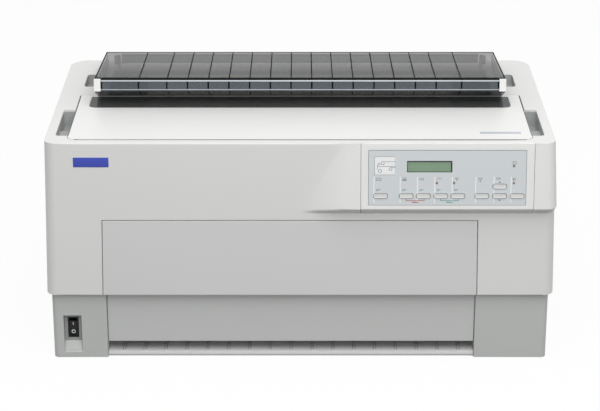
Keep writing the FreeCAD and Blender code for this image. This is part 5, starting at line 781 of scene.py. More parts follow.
@dataclass
class SoftCopy:
    """A CAD solid's twin with its sharp edges broken, as a moulding comes out of its tool.

    Edges longer than shortest, in millimetres, are broken. The constants after it are a distance in metres
    and angles in degrees.
    """

    node: str
    body: str
    slot: str
    width: float = 0.6
    shortest: float = 6.0
    segments: int = 2
    weld: ClassVar[float] = 0.00001
    flat: ClassVar[float] = 0.5
    even: ClassVar[float] = 1.0
    sharp: ClassVar[float] = 30.0
    crease: ClassVar[float] = 35.0

    def build(self) -> Piece:
        """Round the long sharp edges of a copy of the solid and put it in place of the solid.

        Returns:
            The piece.
        """
        twin = Bench.twin(frame["nodes"][self.node], self.node + "_moulding")
        twin.parent = None
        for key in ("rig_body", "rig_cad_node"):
            if key in twin:
                del twin[key]
        self.merge(twin)
        self.mark_edges(twin.data)
        Bench.modify(twin, "BEVEL", width=self.width * MM, segments=self.segments, limit_method="WEIGHT",
                     use_clamp_overlap=False, loop_slide=False)
        self.shape(twin)
        self.shade(twin)
        Bench.dress(twin, finish_of(self.node), self.body, self.slot)
        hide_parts(self.node)
        return twin

    def merge(self, twin: Piece) -> None:
        """Join the copy's loose triangles into facets, and part the wide ones so that they can't fold over.

        Args:
            twin: The copy.
        """
        with Bench.editing(twin):
            bpy.ops.mesh.remove_doubles(threshold=self.weld)
            bpy.ops.mesh.dissolve_limited(angle_limit=math.radians(self.flat))
        with Bench.picking(twin, "FACE", lambda facet: len(facet.vertices) > 4):
            bpy.ops.mesh.quads_convert_to_tris(quad_method="BEAUTY", ngon_method="BEAUTY")
            bpy.ops.mesh.beautify_fill(angle_limit=math.radians(self.even))
        if twin.data.has_custom_normals:
            bpy.ops.mesh.customdata_custom_splitnormals_clear()
        bpy.ops.object.shade_flat()

    def mark_edges(self, mesh: bpy.types.Mesh) -> None:
        """Mark the long sharp edges for rounding.

        Args:
            mesh: The copy's mesh.
        """
        faces: dict[int, list[Vector]] = {}
        for polygon in mesh.polygons:
            for loop in polygon.loop_indices:
                faces.setdefault(mesh.loops[loop].edge_index, []).append(polygon.normal.copy())
        weights = mesh.attributes.new("bevel_weight_edge", "FLOAT", "EDGE")
        limit = math.cos(math.radians(self.sharp))
        for edge in mesh.edges:
            first, last = (mesh.vertices[i].co for i in edge.vertices)
            sides = faces.get(edge.index, [])
            if (len(sides) == 2 and sides[0].dot(sides[1]) < limit
                    and (first - last).length > self.shortest * MM):
                weights.data[edge.index].value = 1.0

    def shape(self, twin: Piece) -> None:
        """Change the softened copy's form; a plain copy keeps it."""

    @staticmethod
    def shade(twin: Piece) -> None:
        """Shade smooth, with the wide facets flat."""
        Bench.smooth(twin, SoftCopy.crease)
        Bench.modify(twin, "WEIGHTED_NORMAL", keep_sharp=True, weight=50)


@dataclass
class ShadePaintedCopy(SoftCopy):
    """A softened twin of a CAD solid whose chosen facets take a second finish, in each use here a painted
    shade.
    """

    second: Optional[Finish] = None
    chosen: Callable[[Vector], bool] = lambda centre: False

    def build(self) -> Piece:
        """Soften the solid and give the chosen facets the second finish, a painted shade.

        Returns:
            The piece.
        """
        piece = super().build()
        piece.data.materials.append(self.second.material())
        for polygon in piece.data.polygons:
            polygon.material_index = int(self.chosen(polygon.center / MM))
        return piece


@dataclass
class BrowedCasing(ShadePaintedCopy):
    """The upper casing, whose front swells into the brow without a fold.

    Places are in millimetres. Across, the swelling grows between start and full, to stand out from front.
    Upwards it begins at foot, is widest at line, which climbs by rise, and fades towards top. The cuts'
    first place, last place and step are across, up_lip and up_wall.
    """

    start: float = 2.7
    full: float = 59.6
    front: float = 176.0
    out: float = 15.0
    foot: float = 222.5
    line: float = 224.8
    rise: float = 9.2
    lip: float = 1.2
    top: float = 323.0
    blur: float = 6.0
    across: Point = (-18.0, 80.0, 3.5)
    up_lip: Point = (223.2, 236.0, 1.6)
    up_wall: Point = (240.0, 318.0, 6.5)
    reach: float = 0.7
    slack: ClassVar[float] = 0.0001
    facing: ClassVar[float] = -0.3
    weights: ClassVar[dict[int, int]] = {-2: 1, -1: 4, 0: 6, 1: 4, 2: 1}

    def swell(self, x: float, z: float) -> float:
        """Say how far the solid's front stands out at a place.

        Args:
            x: Place across in millimetres.
            z: Height in millimetres.

        Returns:
            The distance in millimetres.
        """
        share = min(1.0, max(0.0, (x - self.start) / (self.full - self.start)))
        out = self.out * share * share * (3 - 2 * share)
        line = self.line + self.rise * share
        crown = line + self.lip + (self.top - line - self.lip) * share
        if z <= self.foot or z >= crown:
            return 0.0
        return out * ((z - self.foot) / (line - self.foot) if z < line else (crown - z) / (crown - line))

    def soft_swell(self, x: float, z: float) -> float:
        """The same swelling, evened out across."""
        total = sum(weight * self.swell(x + step * self.blur, z) for step, weight in self.weights.items())
        return total / sum(self.weights.values())

    def shape(self, twin: Piece) -> None:
        """Cut the swelling part of the front into small facets and set them on the evened form.

        Args:
            twin: The softened copy.
        """
        cuts = []
        for (low, high, step), way in ((self.across, Vector((1, 0, 0))), (self.up_lip, Vector((0, 0, 1))),
                                       (self.up_wall, Vector((0, 0, 1)))):
            cuts += [(way * (low + step * i) * MM, way) for i in range(int((high - low) / step) + 1)]
        low, high = self.across[:2]
        for place, way in cuts:
            places = [vertex.co.x for vertex in twin.data.vertices]
            with Bench.picking(twin, "FACE", lambda facet: facet.normal.y < self.facing
                               and any(places[i] > low * MM - self.slack for i in facet.vertices)
                               and any(places[i] < high * MM + self.slack for i in facet.vertices)):
                bpy.ops.mesh.bisect(plane_co=place, plane_no=way)
        for vertex in twin.data.vertices:
            x, y, z = vertex.co / MM
            if (low < x < high and self.foot < z < self.up_wall[1] + 1
                    and abs(-y - self.front - self.swell(x, z)) < self.reach):
                vertex.co.y = -(self.front + self.soft_swell(x, z)) * MM


@dataclass
class SeamedCover(ShadePaintedCopy):
    """The printer cover, its front edge set back a little so that the seam shows as on a real moulding."""

    front: float = 161.0
    corner: float = 11.0
    back: float = 1.3

    def shape(self, twin: Piece) -> None:
        """Draw the front edge back, less and less round the corners.

        Args:
            twin: The softened copy.
        """
        for vertex in twin.data.vertices:
            share = (-vertex.co.y / MM - self.front + self.corner) / self.corner
            vertex.co.y += self.back * min(1.0, max(0.0, share)) * MM


@dataclass(frozen=True)
class Room:
    """A box in the machine's frame, in millimetres."""

    low: Point
    high: Point

    def holds(self, spot: Vector) -> bool:
        """Whether a place lies in the box, or in its mirror image on the other side."""
        places = (spot, (-spot[0], spot[1], spot[2]))
        return any(all(a <= s <= b for a, s, b in zip(self.low, place, self.high)) for place in places)


FRONT_WELL = Room((313.6, -146.0, 298.0), (331.6, -37.0, 321.4))
REAR_WELL = Room((297.6, 64.0, 308.0), (314.0, 121.5, 321.4))
SWITCH_RECESS = Room((-329.2, -166.5, 23.0), (-303.6, -150.0, 66.0))
LID_FACE = 322.95
LID_SIDE = 313.0
LID_FRONT = -159.2
DOOR_STEP_TOP = 101.5
GUIDE_PLATE_TOP = 8.25


def in_wells(spot: Vector) -> bool:
    """Whether a place lies in one of the four finger wells."""
    return FRONT_WELL.holds(spot) or REAR_WELL.holds(spot)


def in_lid_seam(spot: Vector) -> bool:
    """Whether a place lies on the printer cover's outer sides, which face its seam."""
    return spot.z < LID_FACE and (abs(spot.x) > LID_SIDE or spot.y < LID_FRONT)


def on_door_step(spot: Vector) -> bool:
    """Whether a place lies on the front cover's recessed lower part."""
    return spot.z < DOOR_STEP_TOP


def on_guide_rib(spot: Vector) -> bool:
    """Whether a place lies on a rib of the paper entry guide, over its plate."""
    return spot.z > GUIDE_PLATE_TOP


# ---------------------------------------------------------------- sub-assemblies


class Shells:
    """The moulded shells, with their edges broken as they come out of the tool."""

    copies: tuple[SoftCopy, ...] = (
        # The finger wells in the upper casing are painted darker as shade.
        BrowedCasing("upper_casing", "housing", "casing_white", 1.2, 25.0, 3, WELL_SHADE, in_wells),
        # The printer cover's outer sides are painted near black as the shade in its seam.
        SeamedCover("printer_cover", "printer_cover", "casing_white", 0.9, 15.0, 3, SEAM_SHADE, in_lid_seam),
        SoftCopy("control_panel_housing", "housing", "casing_white", 0.5, 15.0),
        # The front cover's recessed lower part is painted darker as shade.
        ShadePaintedCopy("front_cover", "front_cover", "cover_grey", 0.9, 15.0, 2, DOOR_STEP_SHADE, on_door_step),
        SoftCopy("rear_cover", "rear_cover", "cover_grey", 0.9, 15.0),
        # The power switch's recess is painted darker as shade.
        ShadePaintedCopy("lower_housing", "housing", "base_grey", 0.8, 20.0, 2, RECESS_SHADE, SWITCH_RECESS.holds),
        # The entry guide's ribs are painted darker as shade.
        ShadePaintedCopy("paper_entry_guide", "housing", "base_grey", 0.1, 15.0, 1, GUIDE_RIB_SHADE, on_guide_rib),
    )

    def build(self) -> None:
        """Build every copy."""
        for copy in self.copies:
            piece = copy.build()
            log.info("%s: %d facets", piece.name, len(piece.data.polygons))


class Mechanism(Shells):
    """The moving and carrying parts inside, with their edges broken."""

    copies: tuple[SoftCopy, ...] = (
        SoftCopy("left_side_frame", "housing", "steel", 0.3, 12.0, 1),
        SoftCopy("right_side_frame", "housing", "steel", 0.3, 12.0, 1),
        SoftCopy("ribbon_cartridge", "housing", "black_plastic", 0.6, 8.0),
        SoftCopy("carriage", "carriage", "head_alloy", 0.4, 5.0),
        SoftCopy("print_head", "carriage", "head_alloy", 0.3, 5.0),
        SoftCopy("power_supply", "housing", "steel", 0.5, 10.0),
        SoftCopy("mains_inlet", "housing", "black_plastic", 0.3, 5.0),
        SoftCopy("power_switch_body", "housing", "black_plastic", 0.3, 5.0),
    )


@dataclass
class TopCover:
    """The ribbed smoked hood, with black painted shade on its ribs, bands and gaps, a painted reflection on
    its nose, painted shade under the nose and painted highlights along its edges.
    """

    first_rib: float = -187.0
    rib_pitch: float = 29.08
    ribs: int = 14
    rib_wide: float = 1.5
    nose_rib_wide: float = 2.2
    outer_rib: float = 226.8
    half: float = 289.4
    cap: float = 9.3
    nose: float = -25.3
    nose_thick: float = 0.6
    lean: float = 1.6
    toe: float = 21.0
    seat: float = 323.3
    rear: float = 163.0
    front_band: float = 15.0
    rear_band: float = 5.0
    edge_band: float = 2.0
    end_band: float = 11.6
    split: float = 348.2
    top_bead: Pair = (361.5, 1.15)
    low_bead: Pair = (348.9, 0.85)
    toe_bead: float = 0.45
    bead_in: float = 0.5
    bead_round: float = 0.4
    up: ClassVar[float] = 0.7
    forward: ClassVar[float] = -0.9

    def build(self) -> None:
        """Make the hood from its solid, then its edge beads."""
        hood = SoftCopy("top_cover", "top_cover", "smoked_plastic", 0.35, 20.0).build()
        self.score(hood)
        # The ribs' black painted shade, the nose's painted reflection and the painted shade under the nose,
        # in the order of HoodPart.
        for finish in (RIB_SHADE, NOSE_REFLECTION, LOW_NOSE_SHADE):
            hood.data.materials.append(finish.material())
        for polygon in hood.data.polygons:
            polygon.material_index = self.part_of(polygon).value
        Bench.hold(hood)
        bpy.ops.mesh.customdata_custom_splitnormals_clear()
        SoftCopy.shade(hood)
        self.beads()
        log.info("top cover dressed")

    def score(self, hood: Piece) -> None:
        """Cut the facets along the ribs and bands, so that each of them takes its own finish.

        Args:
            hood: The softened hood.
        """
        across = [side for wide in (self.rib_wide, self.nose_rib_wide)
                  for run in self.rib_runs(wide) for side in run]
        across += [side.value * (self.half - band)
                   for side in Hand for band in (self.edge_band, self.end_band)]
        cuts = [((x * MM, 0.0, 0.0), (1.0, 0.0, 0.0)) for x in across]
        cuts += [((0.0, y * MM, 0.0), (0.0, 1.0, 0.0))
                 for y in (self.nose + self.front_band, self.rear - self.rear_band)]
        cuts.append(((0.0, 0.0, self.split * MM), (0.0, 0.0, 1.0)))
        with Bench.editing(hood):
            for place, way in cuts:
                bpy.ops.mesh.select_all(action="SELECT")
                bpy.ops.mesh.bisect(plane_co=place, plane_no=way)

    def rib_runs(self, wide: float) -> list[Pair]:
        """Find the two sides of every rib.

        Args:
            wide: The ribs' width.

        Returns:
            The sides' places across, in millimetres.
        """
        middles = [self.first_rib + self.rib_pitch * i for i in range(self.ribs)]
        middles += [side.value * self.outer_rib for side in Hand]
        return [(middle - wide / 2, middle + wide / 2) for middle in middles]

    def part_of(self, polygon: bpy.types.MeshPolygon) -> HoodPart:
        """Say which material a facet of the hood takes.

        Args:
            polygon: The facet.

        Returns:
            The part of the hood that it lies on.
        """
        centre = polygon.center / MM
        on_roof, on_front = polygon.normal.z > self.up, polygon.normal.y < self.forward
        ribs = self.rib_runs(self.nose_rib_wide if on_front else self.rib_wide)
        # The ribs take black painted shade.
        if (centre.z > self.split or on_roof) and any(low < centre.x < high for low, high in ribs):
            return HoodPart.BLACK
        # So do the roof's front, rear and side bands, as the shade along its edges.
        if on_roof and (centre.y < self.nose + self.front_band or centre.y > self.rear - self.rear_band
                        or abs(centre.x) > self.half - self.edge_band):
            return HoodPart.BLACK
        if not on_front or centre.y > self.nose + self.nose_thick:
            return HoodPart.SHEET
        # The nose bar takes its painted reflection, and its ends by the caps the black painted shade of
        # their gaps.
        if centre.z > self.split:
            return HoodPart.BLACK if abs(centre.x) > self.half - self.end_band else HoodPart.NOSE_BAR
        # Below the split the nose takes painted shade.
        return HoodPart.UNDER_NOSE

    def beads(self) -> None:
        """Rods along the nose and toe, whose light grey paints the highlights that their rounded edges
        catch.
        """
        reach = self.half - self.cap
        turn = Matrix.Rotation(math.pi / 2, 4, "Y")
        for name, finish, y, z, radius in (
            ("nose_top_bead", HIGHLIGHT_BEAD, self.nose + self.bead_in, *self.top_bead),
            ("nose_low_bead", LOW_HIGHLIGHT_BEAD, self.nose - self.lean + self.nose_thick, *self.low_bead),
            ("toe_bead", LOW_HIGHLIGHT_BEAD, self.toe + self.bead_in, self.seat + self.bead_in, self.toe_bead),
        ):
            bead = Bench.drum(name, radius, 2 * reach, sides=24)
            bead.data.transform(Matrix.Translation(Vector((-reach, y, z)) * MM) @ turn)
            Bench.soften(bead, radius * self.bead_round)
            Bench.dress(bead, finish, "top_cover", "smoked_plastic")


@dataclass
class PanelFace:
    """Places on the sloping control panel, in millimetres across and down its slope."""

    front: float = -176.0
    top: float = 323.0
    lean: float = 0.166204
    upright: float = 0.986091

    def lay(self, piece: Piece, x: float, down: float, out: float = 0.0) -> Piece:
        """Turn a piece modelled flat at the origin onto the slope.

        Args:
            piece: The piece, modelled face up.
            x: Place across the machine.
            down: Place down the slope from its top edge.
            out: Height above the slope.

        Returns:
            The same piece.
        """
        place = Vector((x, self.front - self.lean * down - self.upright * out,
                        self.top - self.upright * down + self.lean * out)) * MM
        turn = Matrix.Rotation(math.acos(self.lean), 4, "X")
        piece.data.transform(Matrix.Translation(place) @ turn)
        piece.data.update()
        return piece

    def bar(self, x: Pair, down: Pair, top: float, under: float = 0.0) -> Piece:
        """Make a straight bar on the slope.

        Args:
            x: Its two ends across.
            down: Its two ends down the slope.
            top: Its upper face above the slope.
            under: Its under face above the slope.

        Returns:
            The bar.
        """
        wide, tall = (x[1] - x[0]) / 2, (down[1] - down[0]) / 2
        piece = Bench.block("bar", (-wide, -tall, under), (wide, tall, top))
        return self.lay(piece, (x[0] + x[1]) / 2, (down[0] + down[1]) / 2)

    def frame_bars(self, span: Sides, widths: Sides, top: float, under: float = 0.0) -> list[Piece]:
        """Make bars along the inside of a rectangle on the slope.

        Args:
            span: Its left, right, top and bottom.
            widths: How wide the bar is at each of these sides; 0 for none.
            top: The bars' upper face above the slope.
            under: The bars' under face above the slope.

        Returns:
            The bars.
        """
        left, right, head, foot = span
        at_left, at_right, at_head, at_foot = widths
        upright = (head + at_head, foot - at_foot)
        sides = (((left, right), (head, head + at_head)), ((left, right), (foot - at_foot, foot)),
                 ((left, left + at_left), upright), ((right - at_right, right), upright))
        return [self.bar(x, down, top, under) for x, down in sides if x[0] < x[1] and down[0] < down[1]]

    def span(self, node: str) -> Sides:
        """Find where a node lies on the slope.

        Args:
            node: The node's name.

        Returns:
            Its left, right, top and bottom.
        """
        low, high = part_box(node)
        return (low.x / MM, high.x / MM, (self.top - high.z / MM) / self.upright,
                (self.top - low.z / MM) / self.upright)

    @staticmethod
    def printed(name: str, marks: Sequence[Piece], finish: Finish) -> None:
        """Join printed marks into one piece of the overlay."""
        Bench.dress(Bench.join(name, marks), finish, "housing", "overlay_film")


@dataclass
class ControlPanel:
    """The overlay's printing and the display's frame."""

    face: PanelFace = field(default_factory=PanelFace)
    rule_top: float = 0.03
    plate_top: float = 0.04
    ink_top: float = 0.05
    sign_top: float = 0.06
    line_top: float = 0.07
    path_top: float = 0.09
    separators: tuple[float, ...] = (99.3, 134.7, 157.8, 181.0, 204.5, 236.1, 260.6, 283.6)
    separator_span: Pair = (45.5, 81.2)
    separator_wide: float = 1.5
    brackets: tuple[tuple[str, float, float, Finish], ...] = (
        ("first_bracket", 142.6, 167.4, RED_INK), ("second_bracket", 188.9, 213.6, TEAL_INK),
    )
    bracket_line: float = 0.7
    bracket_ends: Pair = (75.4, 77.6)
    bracket_base: Pair = (77.6, 78.3)
    bracket_mark: Pair = (79.6, 80.8)
    bracket_mark_half: float = 4.5
    arrow_x: float = 268.3
    arrow_size: float = 1.7
    arrow_shape: Sides = (1.2, 0.8, 1.0, 1.0)
    arrows: tuple[Pair, ...] = ((52.6, 0.0), (77.4, math.pi))
    icon_row: float = 46.8
    icons: tuple[tuple[float, float, tuple[Sides, ...]], ...] = (
        (102.0, 0.0, ((0, 7, 0, 0.5), (0, 7, 3.2, 3.7), (0, 0.5, 0, 3.7), (6.5, 7, 0, 3.7),
                      (1.4, 2.1, 1.5, 2.2), (3.1, 3.8, 1.5, 2.2), (4.8, 5.5, 1.5, 2.2))),
        (137.4, 0.0, ((0, 5.6, 0, 0.4), (0, 5.6, 1.4, 2.1), (0, 5.6, 2.8, 3.8))),
        (160.6, 0.0, ((0, 0.5, 0, 3.6), (1.7, 2.2, 0, 3.6), (3.4, 3.9, 0, 3.6), (5.1, 5.6, 0, 3.6))),
        (183.8, 0.0, ((0, 6.4, 0, 0.5), (0, 1.3, 2.4, 2.9), (2.5, 3.8, 2.4, 2.9), (5.1, 6.4, 2.4, 2.9))),
        (207.2, 0.0, ((0, 6.4, 0, 0.6), (2.9, 3.5, 1.2, 3.8), (2.0, 4.4, 1.8, 2.3))),
        (238.9, 0.0, ((0, 6.4, 0, 0.5), (0, 6.4, 1.6, 2.1), (2.9, 3.5, 3.0, 5.6), (2.0, 4.4, 4.5, 5.0))),
        (263.4, 0.0, ((0, 6.4, 0, 0.5), (0, 6.4, 1.3, 1.6), (0, 6.4, 2.4, 2.6))),
        (286.0, 0.0, ((0, 1.0, 0, 3.6), (2.2, 3.2, 0, 3.6))),
        (285.4, -22.4, ((0, 4.6, 0, 0.5), (0, 4.6, 3.3, 3.8), (0, 0.5, 0, 3.8), (4.1, 4.6, 0, 3.8))),
        (102.0, 15.8, ((0, 6.5, 0, 0.5), (0, 4.4, 1.5, 2.0))),
    )
    lower_icon_row: float = 62.6
    lower_icons: tuple[float, ...] = (137.4, 160.6, 183.8, 207.2)
    lower_icon: tuple[Sides, ...] = ((0, 5.4, 0, 0.7), (0, 3.2, 1.6, 2.3))
    border: Sides = (0.5, 0.5, 0.5, 0.5)
    display: Sides = (143.5, 204.3, 23.6, 39.0)
    # A black frame round the display, wider at its top and right where it also paints the recess's shadow.
    display_edges: Sides = (0.7, 1.5, 1.2, 0.6)
    display_faces: Pair = (0.25, -0.4)
    plate: Sides = (100.2, 127.0, 18.0, 42.4)
    plate_line: float = 0.4
    rollers: tuple[Point, ...] = (
        (106.0, 28.0, 1.3), (110.8, 26.8, 2.2), (107.3, 37.4, 2.2), (121.5, 34.8, 2.0),
    )
    roller_line: float = 0.3
    roller_flat: float = 0.3
    paths: tuple[tuple[Pair, Pair], ...] = (((112.9, 128.0), (24.4, 24.9)), ((103.6, 128.0), (30.9, 31.4)),
                                            ((103.6, 104.1), (28.8, 36.0)), ((122.6, 128.0), (32.4, 32.9)))

    def build(self) -> None:
        """Make the panel's printing and dress it."""
        self.print_rules()
        self.print_brackets()
        self.print_arrows()
        self.print_signs()
        self.frame_display()
        self.print_paper_path()
        log.info("control panel printed")

    def print_rules(self) -> None:
        """The white rules between the key columns."""
        half = self.separator_wide / 2
        rules = [self.face.bar((x - half, x + half), self.separator_span, self.rule_top)
                 for x in self.separators]
        self.face.printed("panel_rules", rules, WHITE_INK)

    def print_brackets(self) -> None:
        """Two coloured brackets that tie pairs of keys together."""
        for name, left, right, finish in self.brackets:
            middle = (left + right) / 2
            mark = (middle - self.bracket_mark_half, middle + self.bracket_mark_half)
            runs = (((left, right), self.bracket_base),
                    ((left, left + self.bracket_line), self.bracket_ends),
                    ((right - self.bracket_line, right), self.bracket_ends), (mark, self.bracket_mark))
            self.face.printed(name, [self.face.bar(x, down, self.ink_top) for x, down in runs], finish)

    def print_arrows(self) -> None:
        """An up and a down arrow at the feed keys."""
        made = []
        for down, turn in self.arrows:
            arrow = Bench.drum("arrow", self.arrow_size, self.ink_top, sides=3)
            arrow.data.transform(Matrix.Rotation(turn, 4, "Z") @ Matrix.Diagonal(self.arrow_shape))
            made.append(self.face.lay(arrow, self.arrow_x, down))
        self.face.printed("feed_arrows", made, INK)

    def sign(self, x: float, down: float, bars: Sequence[Sides]) -> list[Piece]:
        """The printed bars of one small sign, measured from its upper left corner."""
        return [self.face.bar((x + bar[0], x + bar[1]), (down + bar[2], down + bar[3]), self.sign_top)
                for bar in bars]

    def print_signs(self) -> None:
        """A plain sign over each key, and a small coloured one for its second use."""
        first = [self.sign(x, self.icon_row + shift, bars) for x, shift, bars in self.icons]
        self.face.printed("key_signs", sum(first, []), INK)
        second = [self.sign(x, self.lower_icon_row, self.lower_icon) for x in self.lower_icons]
        self.face.printed("second_signs", sum(second, []), TEAL_INK)

    def frame_display(self) -> None:
        """The thin grey line round the overlay, and the black frame in which the display sits, wider at its
        top and right to paint the shadow of the display's recess.
        """
        line = self.face.frame_bars(self.face.span("panel_overlay"), self.border, self.ink_top)
        self.face.printed("overlay_border", line, GREY_INK)
        bars = self.face.frame_bars(self.display, self.display_edges, *self.display_faces)
        rim = Bench.join("display_frame_and_shadow", bars)
        Bench.soften(rim, width=0.06, segments=1)
        Bench.dress(rim, BLACK, "housing", "black_plastic")

    def print_paper_path(self) -> None:
        """A plain sketch of a paper path: a light plate, two bent lines and four rollers."""
        left, right, head, foot = self.plate
        line = self.plate_line
        plate = self.face.bar((left, right), (head, foot), self.plate_top)
        Bench.soften(plate, width=0.01, segments=1)
        plate.name = "path_plate"
        Bench.dress(plate, WHITE_INK, "housing", "overlay_film")
        outer = (left - line, right, head - line, foot + line)
        marks = self.face.frame_bars(outer, (line, 0.0, line, line), self.line_top)
        for x, down, radius in self.rollers:
            roller = Bench.ring("roller", radius, self.roller_line, self.roller_flat, facets=(32, 6))
            marks.append(self.face.lay(roller, x, down, self.ink_top))
        marks += [self.face.bar(x, down, self.path_top) for x, down in self.paths]
        self.face.printed("path_rollers", marks, INK)


@dataclass
class KeyCaps:
    """The nine pillow-shaped keys, modelled once and copied onto their switches."""

    face: PanelFace = field(default_factory=PanelFace)
    wide: float = 18.0
    tall: float = 5.8
    proud: float = 1.6
    stem: float = 4.6
    corner: float = 2.3
    corner_facets: int = 5
    rim: float = 0.8
    dish: float = 0.4
    edge: float = 0.3
    flange: float = 1.5
    flange_thick: float = 0.9
    ring_gap: float = 0.35
    ring_wide: float = 0.6
    ring_thick: float = 0.07
    row_rise: float = 13.0
    row_pitch: float = 13.1
    upper: tuple[str, ...] = ("feed_up_key",)

    def build(self) -> None:
        """Put one copy of the cap in place of each key's solid, and a printed ring round it."""
        cap, ring = self.model(), self.model_ring()
        rings = []
        bottom = self.face.span("panel_overlay")[3]
        names = [name for name in frame["nodes"] if name.endswith("_key")]
        for name in names:
            row = KeyRow.UPPER if name in self.upper else KeyRow.LOWER
            low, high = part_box(name)
            place = ((low.x + high.x) / 2 / MM, bottom - self.row_rise - row.value * self.row_pitch)
            twin = self.face.lay(Bench.twin(cap, name + "_cap"), *place)
            Bench.dress(twin, KEY, name, "key_grey")
            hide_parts(name)
            rings.append(self.face.lay(Bench.twin(ring, "ring"), *place))
        self.face.printed("key_rings", rings, GREY_INK)
        bpy.data.objects.remove(cap)
        bpy.data.objects.remove(ring)
        log.info("%d key caps", len(names))

    def rounded(self, name: str, grow: float, under: float, top: float) -> Piece:
        """Make a block with the key's outline and four upright rounded corners.

        Args:
            name: The piece's name.
            grow: How far it reaches past the key's outline.
            under: Its under face.
            top: Its upper face.

        Returns:
            The block.
        """
        half, tall = self.wide / 2 + grow, self.tall / 2 + grow
        piece = Bench.block(name, (-half, -tall, under), (half, tall, top))
        heights = [vertex.co.z for vertex in piece.data.vertices]
        upright = (top - under) / 2 * MM
        with Bench.picking(piece, "EDGE", lambda edge: abs(heights[edge.vertices[0]]
                                                           - heights[edge.vertices[1]]) > upright):
            bpy.ops.mesh.bevel(offset=(self.corner + grow) * MM, segments=self.corner_facets,
                               affect="EDGES")
        return piece

    def model_ring(self) -> Piece:
        """Shape the printed ring round one key: an outline without its faces, thickened outwards.

        Returns:
            The ring.
        """
        ring = self.rounded("ring", self.ring_gap, 0.0, self.ring_thick)
        with Bench.picking(ring, "FACE", lambda facet: abs(facet.normal.z) > LEVEL):
            bpy.ops.mesh.delete(type="FACE")
        return Bench.modify(ring, "SOLIDIFY", thickness=self.ring_wide * MM, offset=1.0)

    def model(self) -> Piece:
        """Shape one cap: a rounded block with a dished top, over its retaining flange.

        Returns:
            The cap.
        """
        cap = self.rounded("cap", 0.0, -self.stem, self.proud)
        with Bench.picking(cap, "FACE", lambda facet: facet.normal.z > LEVEL):
            bpy.ops.mesh.inset(thickness=self.rim * MM)
            bpy.ops.transform.translate(value=(0.0, 0.0, -self.dish * MM))
        Bench.soften(cap, self.edge, segments=3, angle=25.0)
        half, tall = self.wide / 2 + self.flange, self.tall / 2 + self.flange
        plate = Bench.block("flange", (-half, -tall, -self.stem - self.flange_thick),
                            (half, tall, -self.stem))
        Bench.soften(plate, self.edge / 2, segments=1)
        return Bench.join("key_cap", [cap, plate])


@dataclass
class PanelLamps:
    """The small domed lenses of the four lamps, modelled once and copied."""

    face: PanelFace = field(default_factory=PanelFace)
    radius: float = 1.5
    rise: float = 0.55
    places: tuple[Pair, ...] = ((286.9, 30.5), (183.7, 53.8), (206.9, 53.8), (287.3, 53.8))

    def build(self) -> None:
        """Shape a lens, then set one on each lamp."""
        lens = Bench.drum("lens", self.radius, self.rise, sides=24)
        with Bench.picking(lens, "FACE", lambda facet: facet.normal.z > LEVEL):
            bpy.ops.mesh.inset(thickness=self.radius / 2 * MM)
            bpy.ops.transform.translate(value=(0.0, 0.0, self.rise / 3 * MM))
        Bench.soften(lens, self.rise / 3, angle=15.0)
        lenses = [self.face.lay(Bench.twin(lens, "lamp"), x, down) for x, down in self.places]
        bpy.data.objects.remove(lens)
        self.face.printed("lamp_lenses", lenses, LAMP)
        log.info("%d lamp lenses", len(self.places))


@dataclass
class RockerMarks:
    """The bar and the ring that mark on and off on the mains rocker."""

    offset: float = 6.4
    bar: Pair = (1.0, 5.0)
    ring: float = 2.3
    line: float = 0.5
    thick: float = 0.12
    reach: float = 60.0

    def build(self) -> None:
        """Lay both marks on the rocker's two faces."""
        bar = Bench.block("on_bar", (-self.bar[0] / 2, -self.bar[1] / 2, -self.thick),
                          (self.bar[0] / 2, self.bar[1] / 2, self.thick))
        Bench.soften(bar, self.thick / 2, segments=1)
        ring = Bench.ring("off_ring", self.ring, self.line, self.thick / self.line, facets=(40, 8))
        marks = [self.seat(bar, self.offset), self.seat(ring, -self.offset)]
        Bench.dress(Bench.join("rocker_marks", marks), WHITE_INK, "rocker", "black_plastic")
        log.info("rocker marked")

    def seat(self, mark: Piece, rise: float) -> Piece:
        """Lay a flat mark on the rocker's face.

        Args:
            mark: The mark, modelled face up at the origin.
            rise: Its height above the rocker's middle.

        Returns:
            The same mark.
        """
        low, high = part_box("power_rocker")
        start = Vector(((low.x + high.x) / 2, low.y - self.reach * MM, (low.z + high.z) / 2 + rise * MM))
        hit, spot, normal, _ = frame["nodes"]["power_rocker"].ray_cast(start, Vector((0.0, 1.0, 0.0)))
        if not hit:
            raise RuntimeError("the rocker's face was not found")
        turn = Vector((0.0, 0.0, 1.0)).rotation_difference(normal).to_matrix().to_4x4()
        mark.data.transform(Matrix.Translation(spot) @ turn)
        mark.data.update()
        return mark


@dataclass
class Badges:
    """The bare places where a maker would put its name."""

    plate_x: Pair = (-304.9, -257.1)
    plate_z: Pair = (289.2, 303.0)
    plate_proud: float = 0.5
    plate_sunk: float = 0.4
    plate_edge: float = 0.3
    strip_x: Pair = (244.5, 300.1)
    strip_y: Pair = (-137.5, -129.5)
    strip_proud: float = 0.15
    strip_sunk: float = 0.3
    strip_edge: float = 0.1

    def build(self) -> None:
        """Make the blank plate on the front and the blank strip on the lid."""
        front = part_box("front_cover")[0].y / MM
        plate = Bench.block("blank_plate", (self.plate_x[0], front - self.plate_proud, self.plate_z[0]),
                            (self.plate_x[1], front + self.plate_sunk, self.plate_z[1]))
        Bench.soften(plate, self.plate_edge)
        Bench.dress(plate, BLUE_PLATE, "housing", "casing_white")
        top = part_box("printer_cover")[1].z / MM
        strip = Bench.block("blank_strip", (self.strip_x[0], self.strip_y[0], top - self.strip_sunk),
                            (self.strip_x[1], self.strip_y[1], top + self.strip_proud))
        Bench.soften(strip, self.strip_edge, segments=1)
        Bench.dress(strip, STRIP, "printer_cover", "casing_white")
        log.info("blank badges placed")


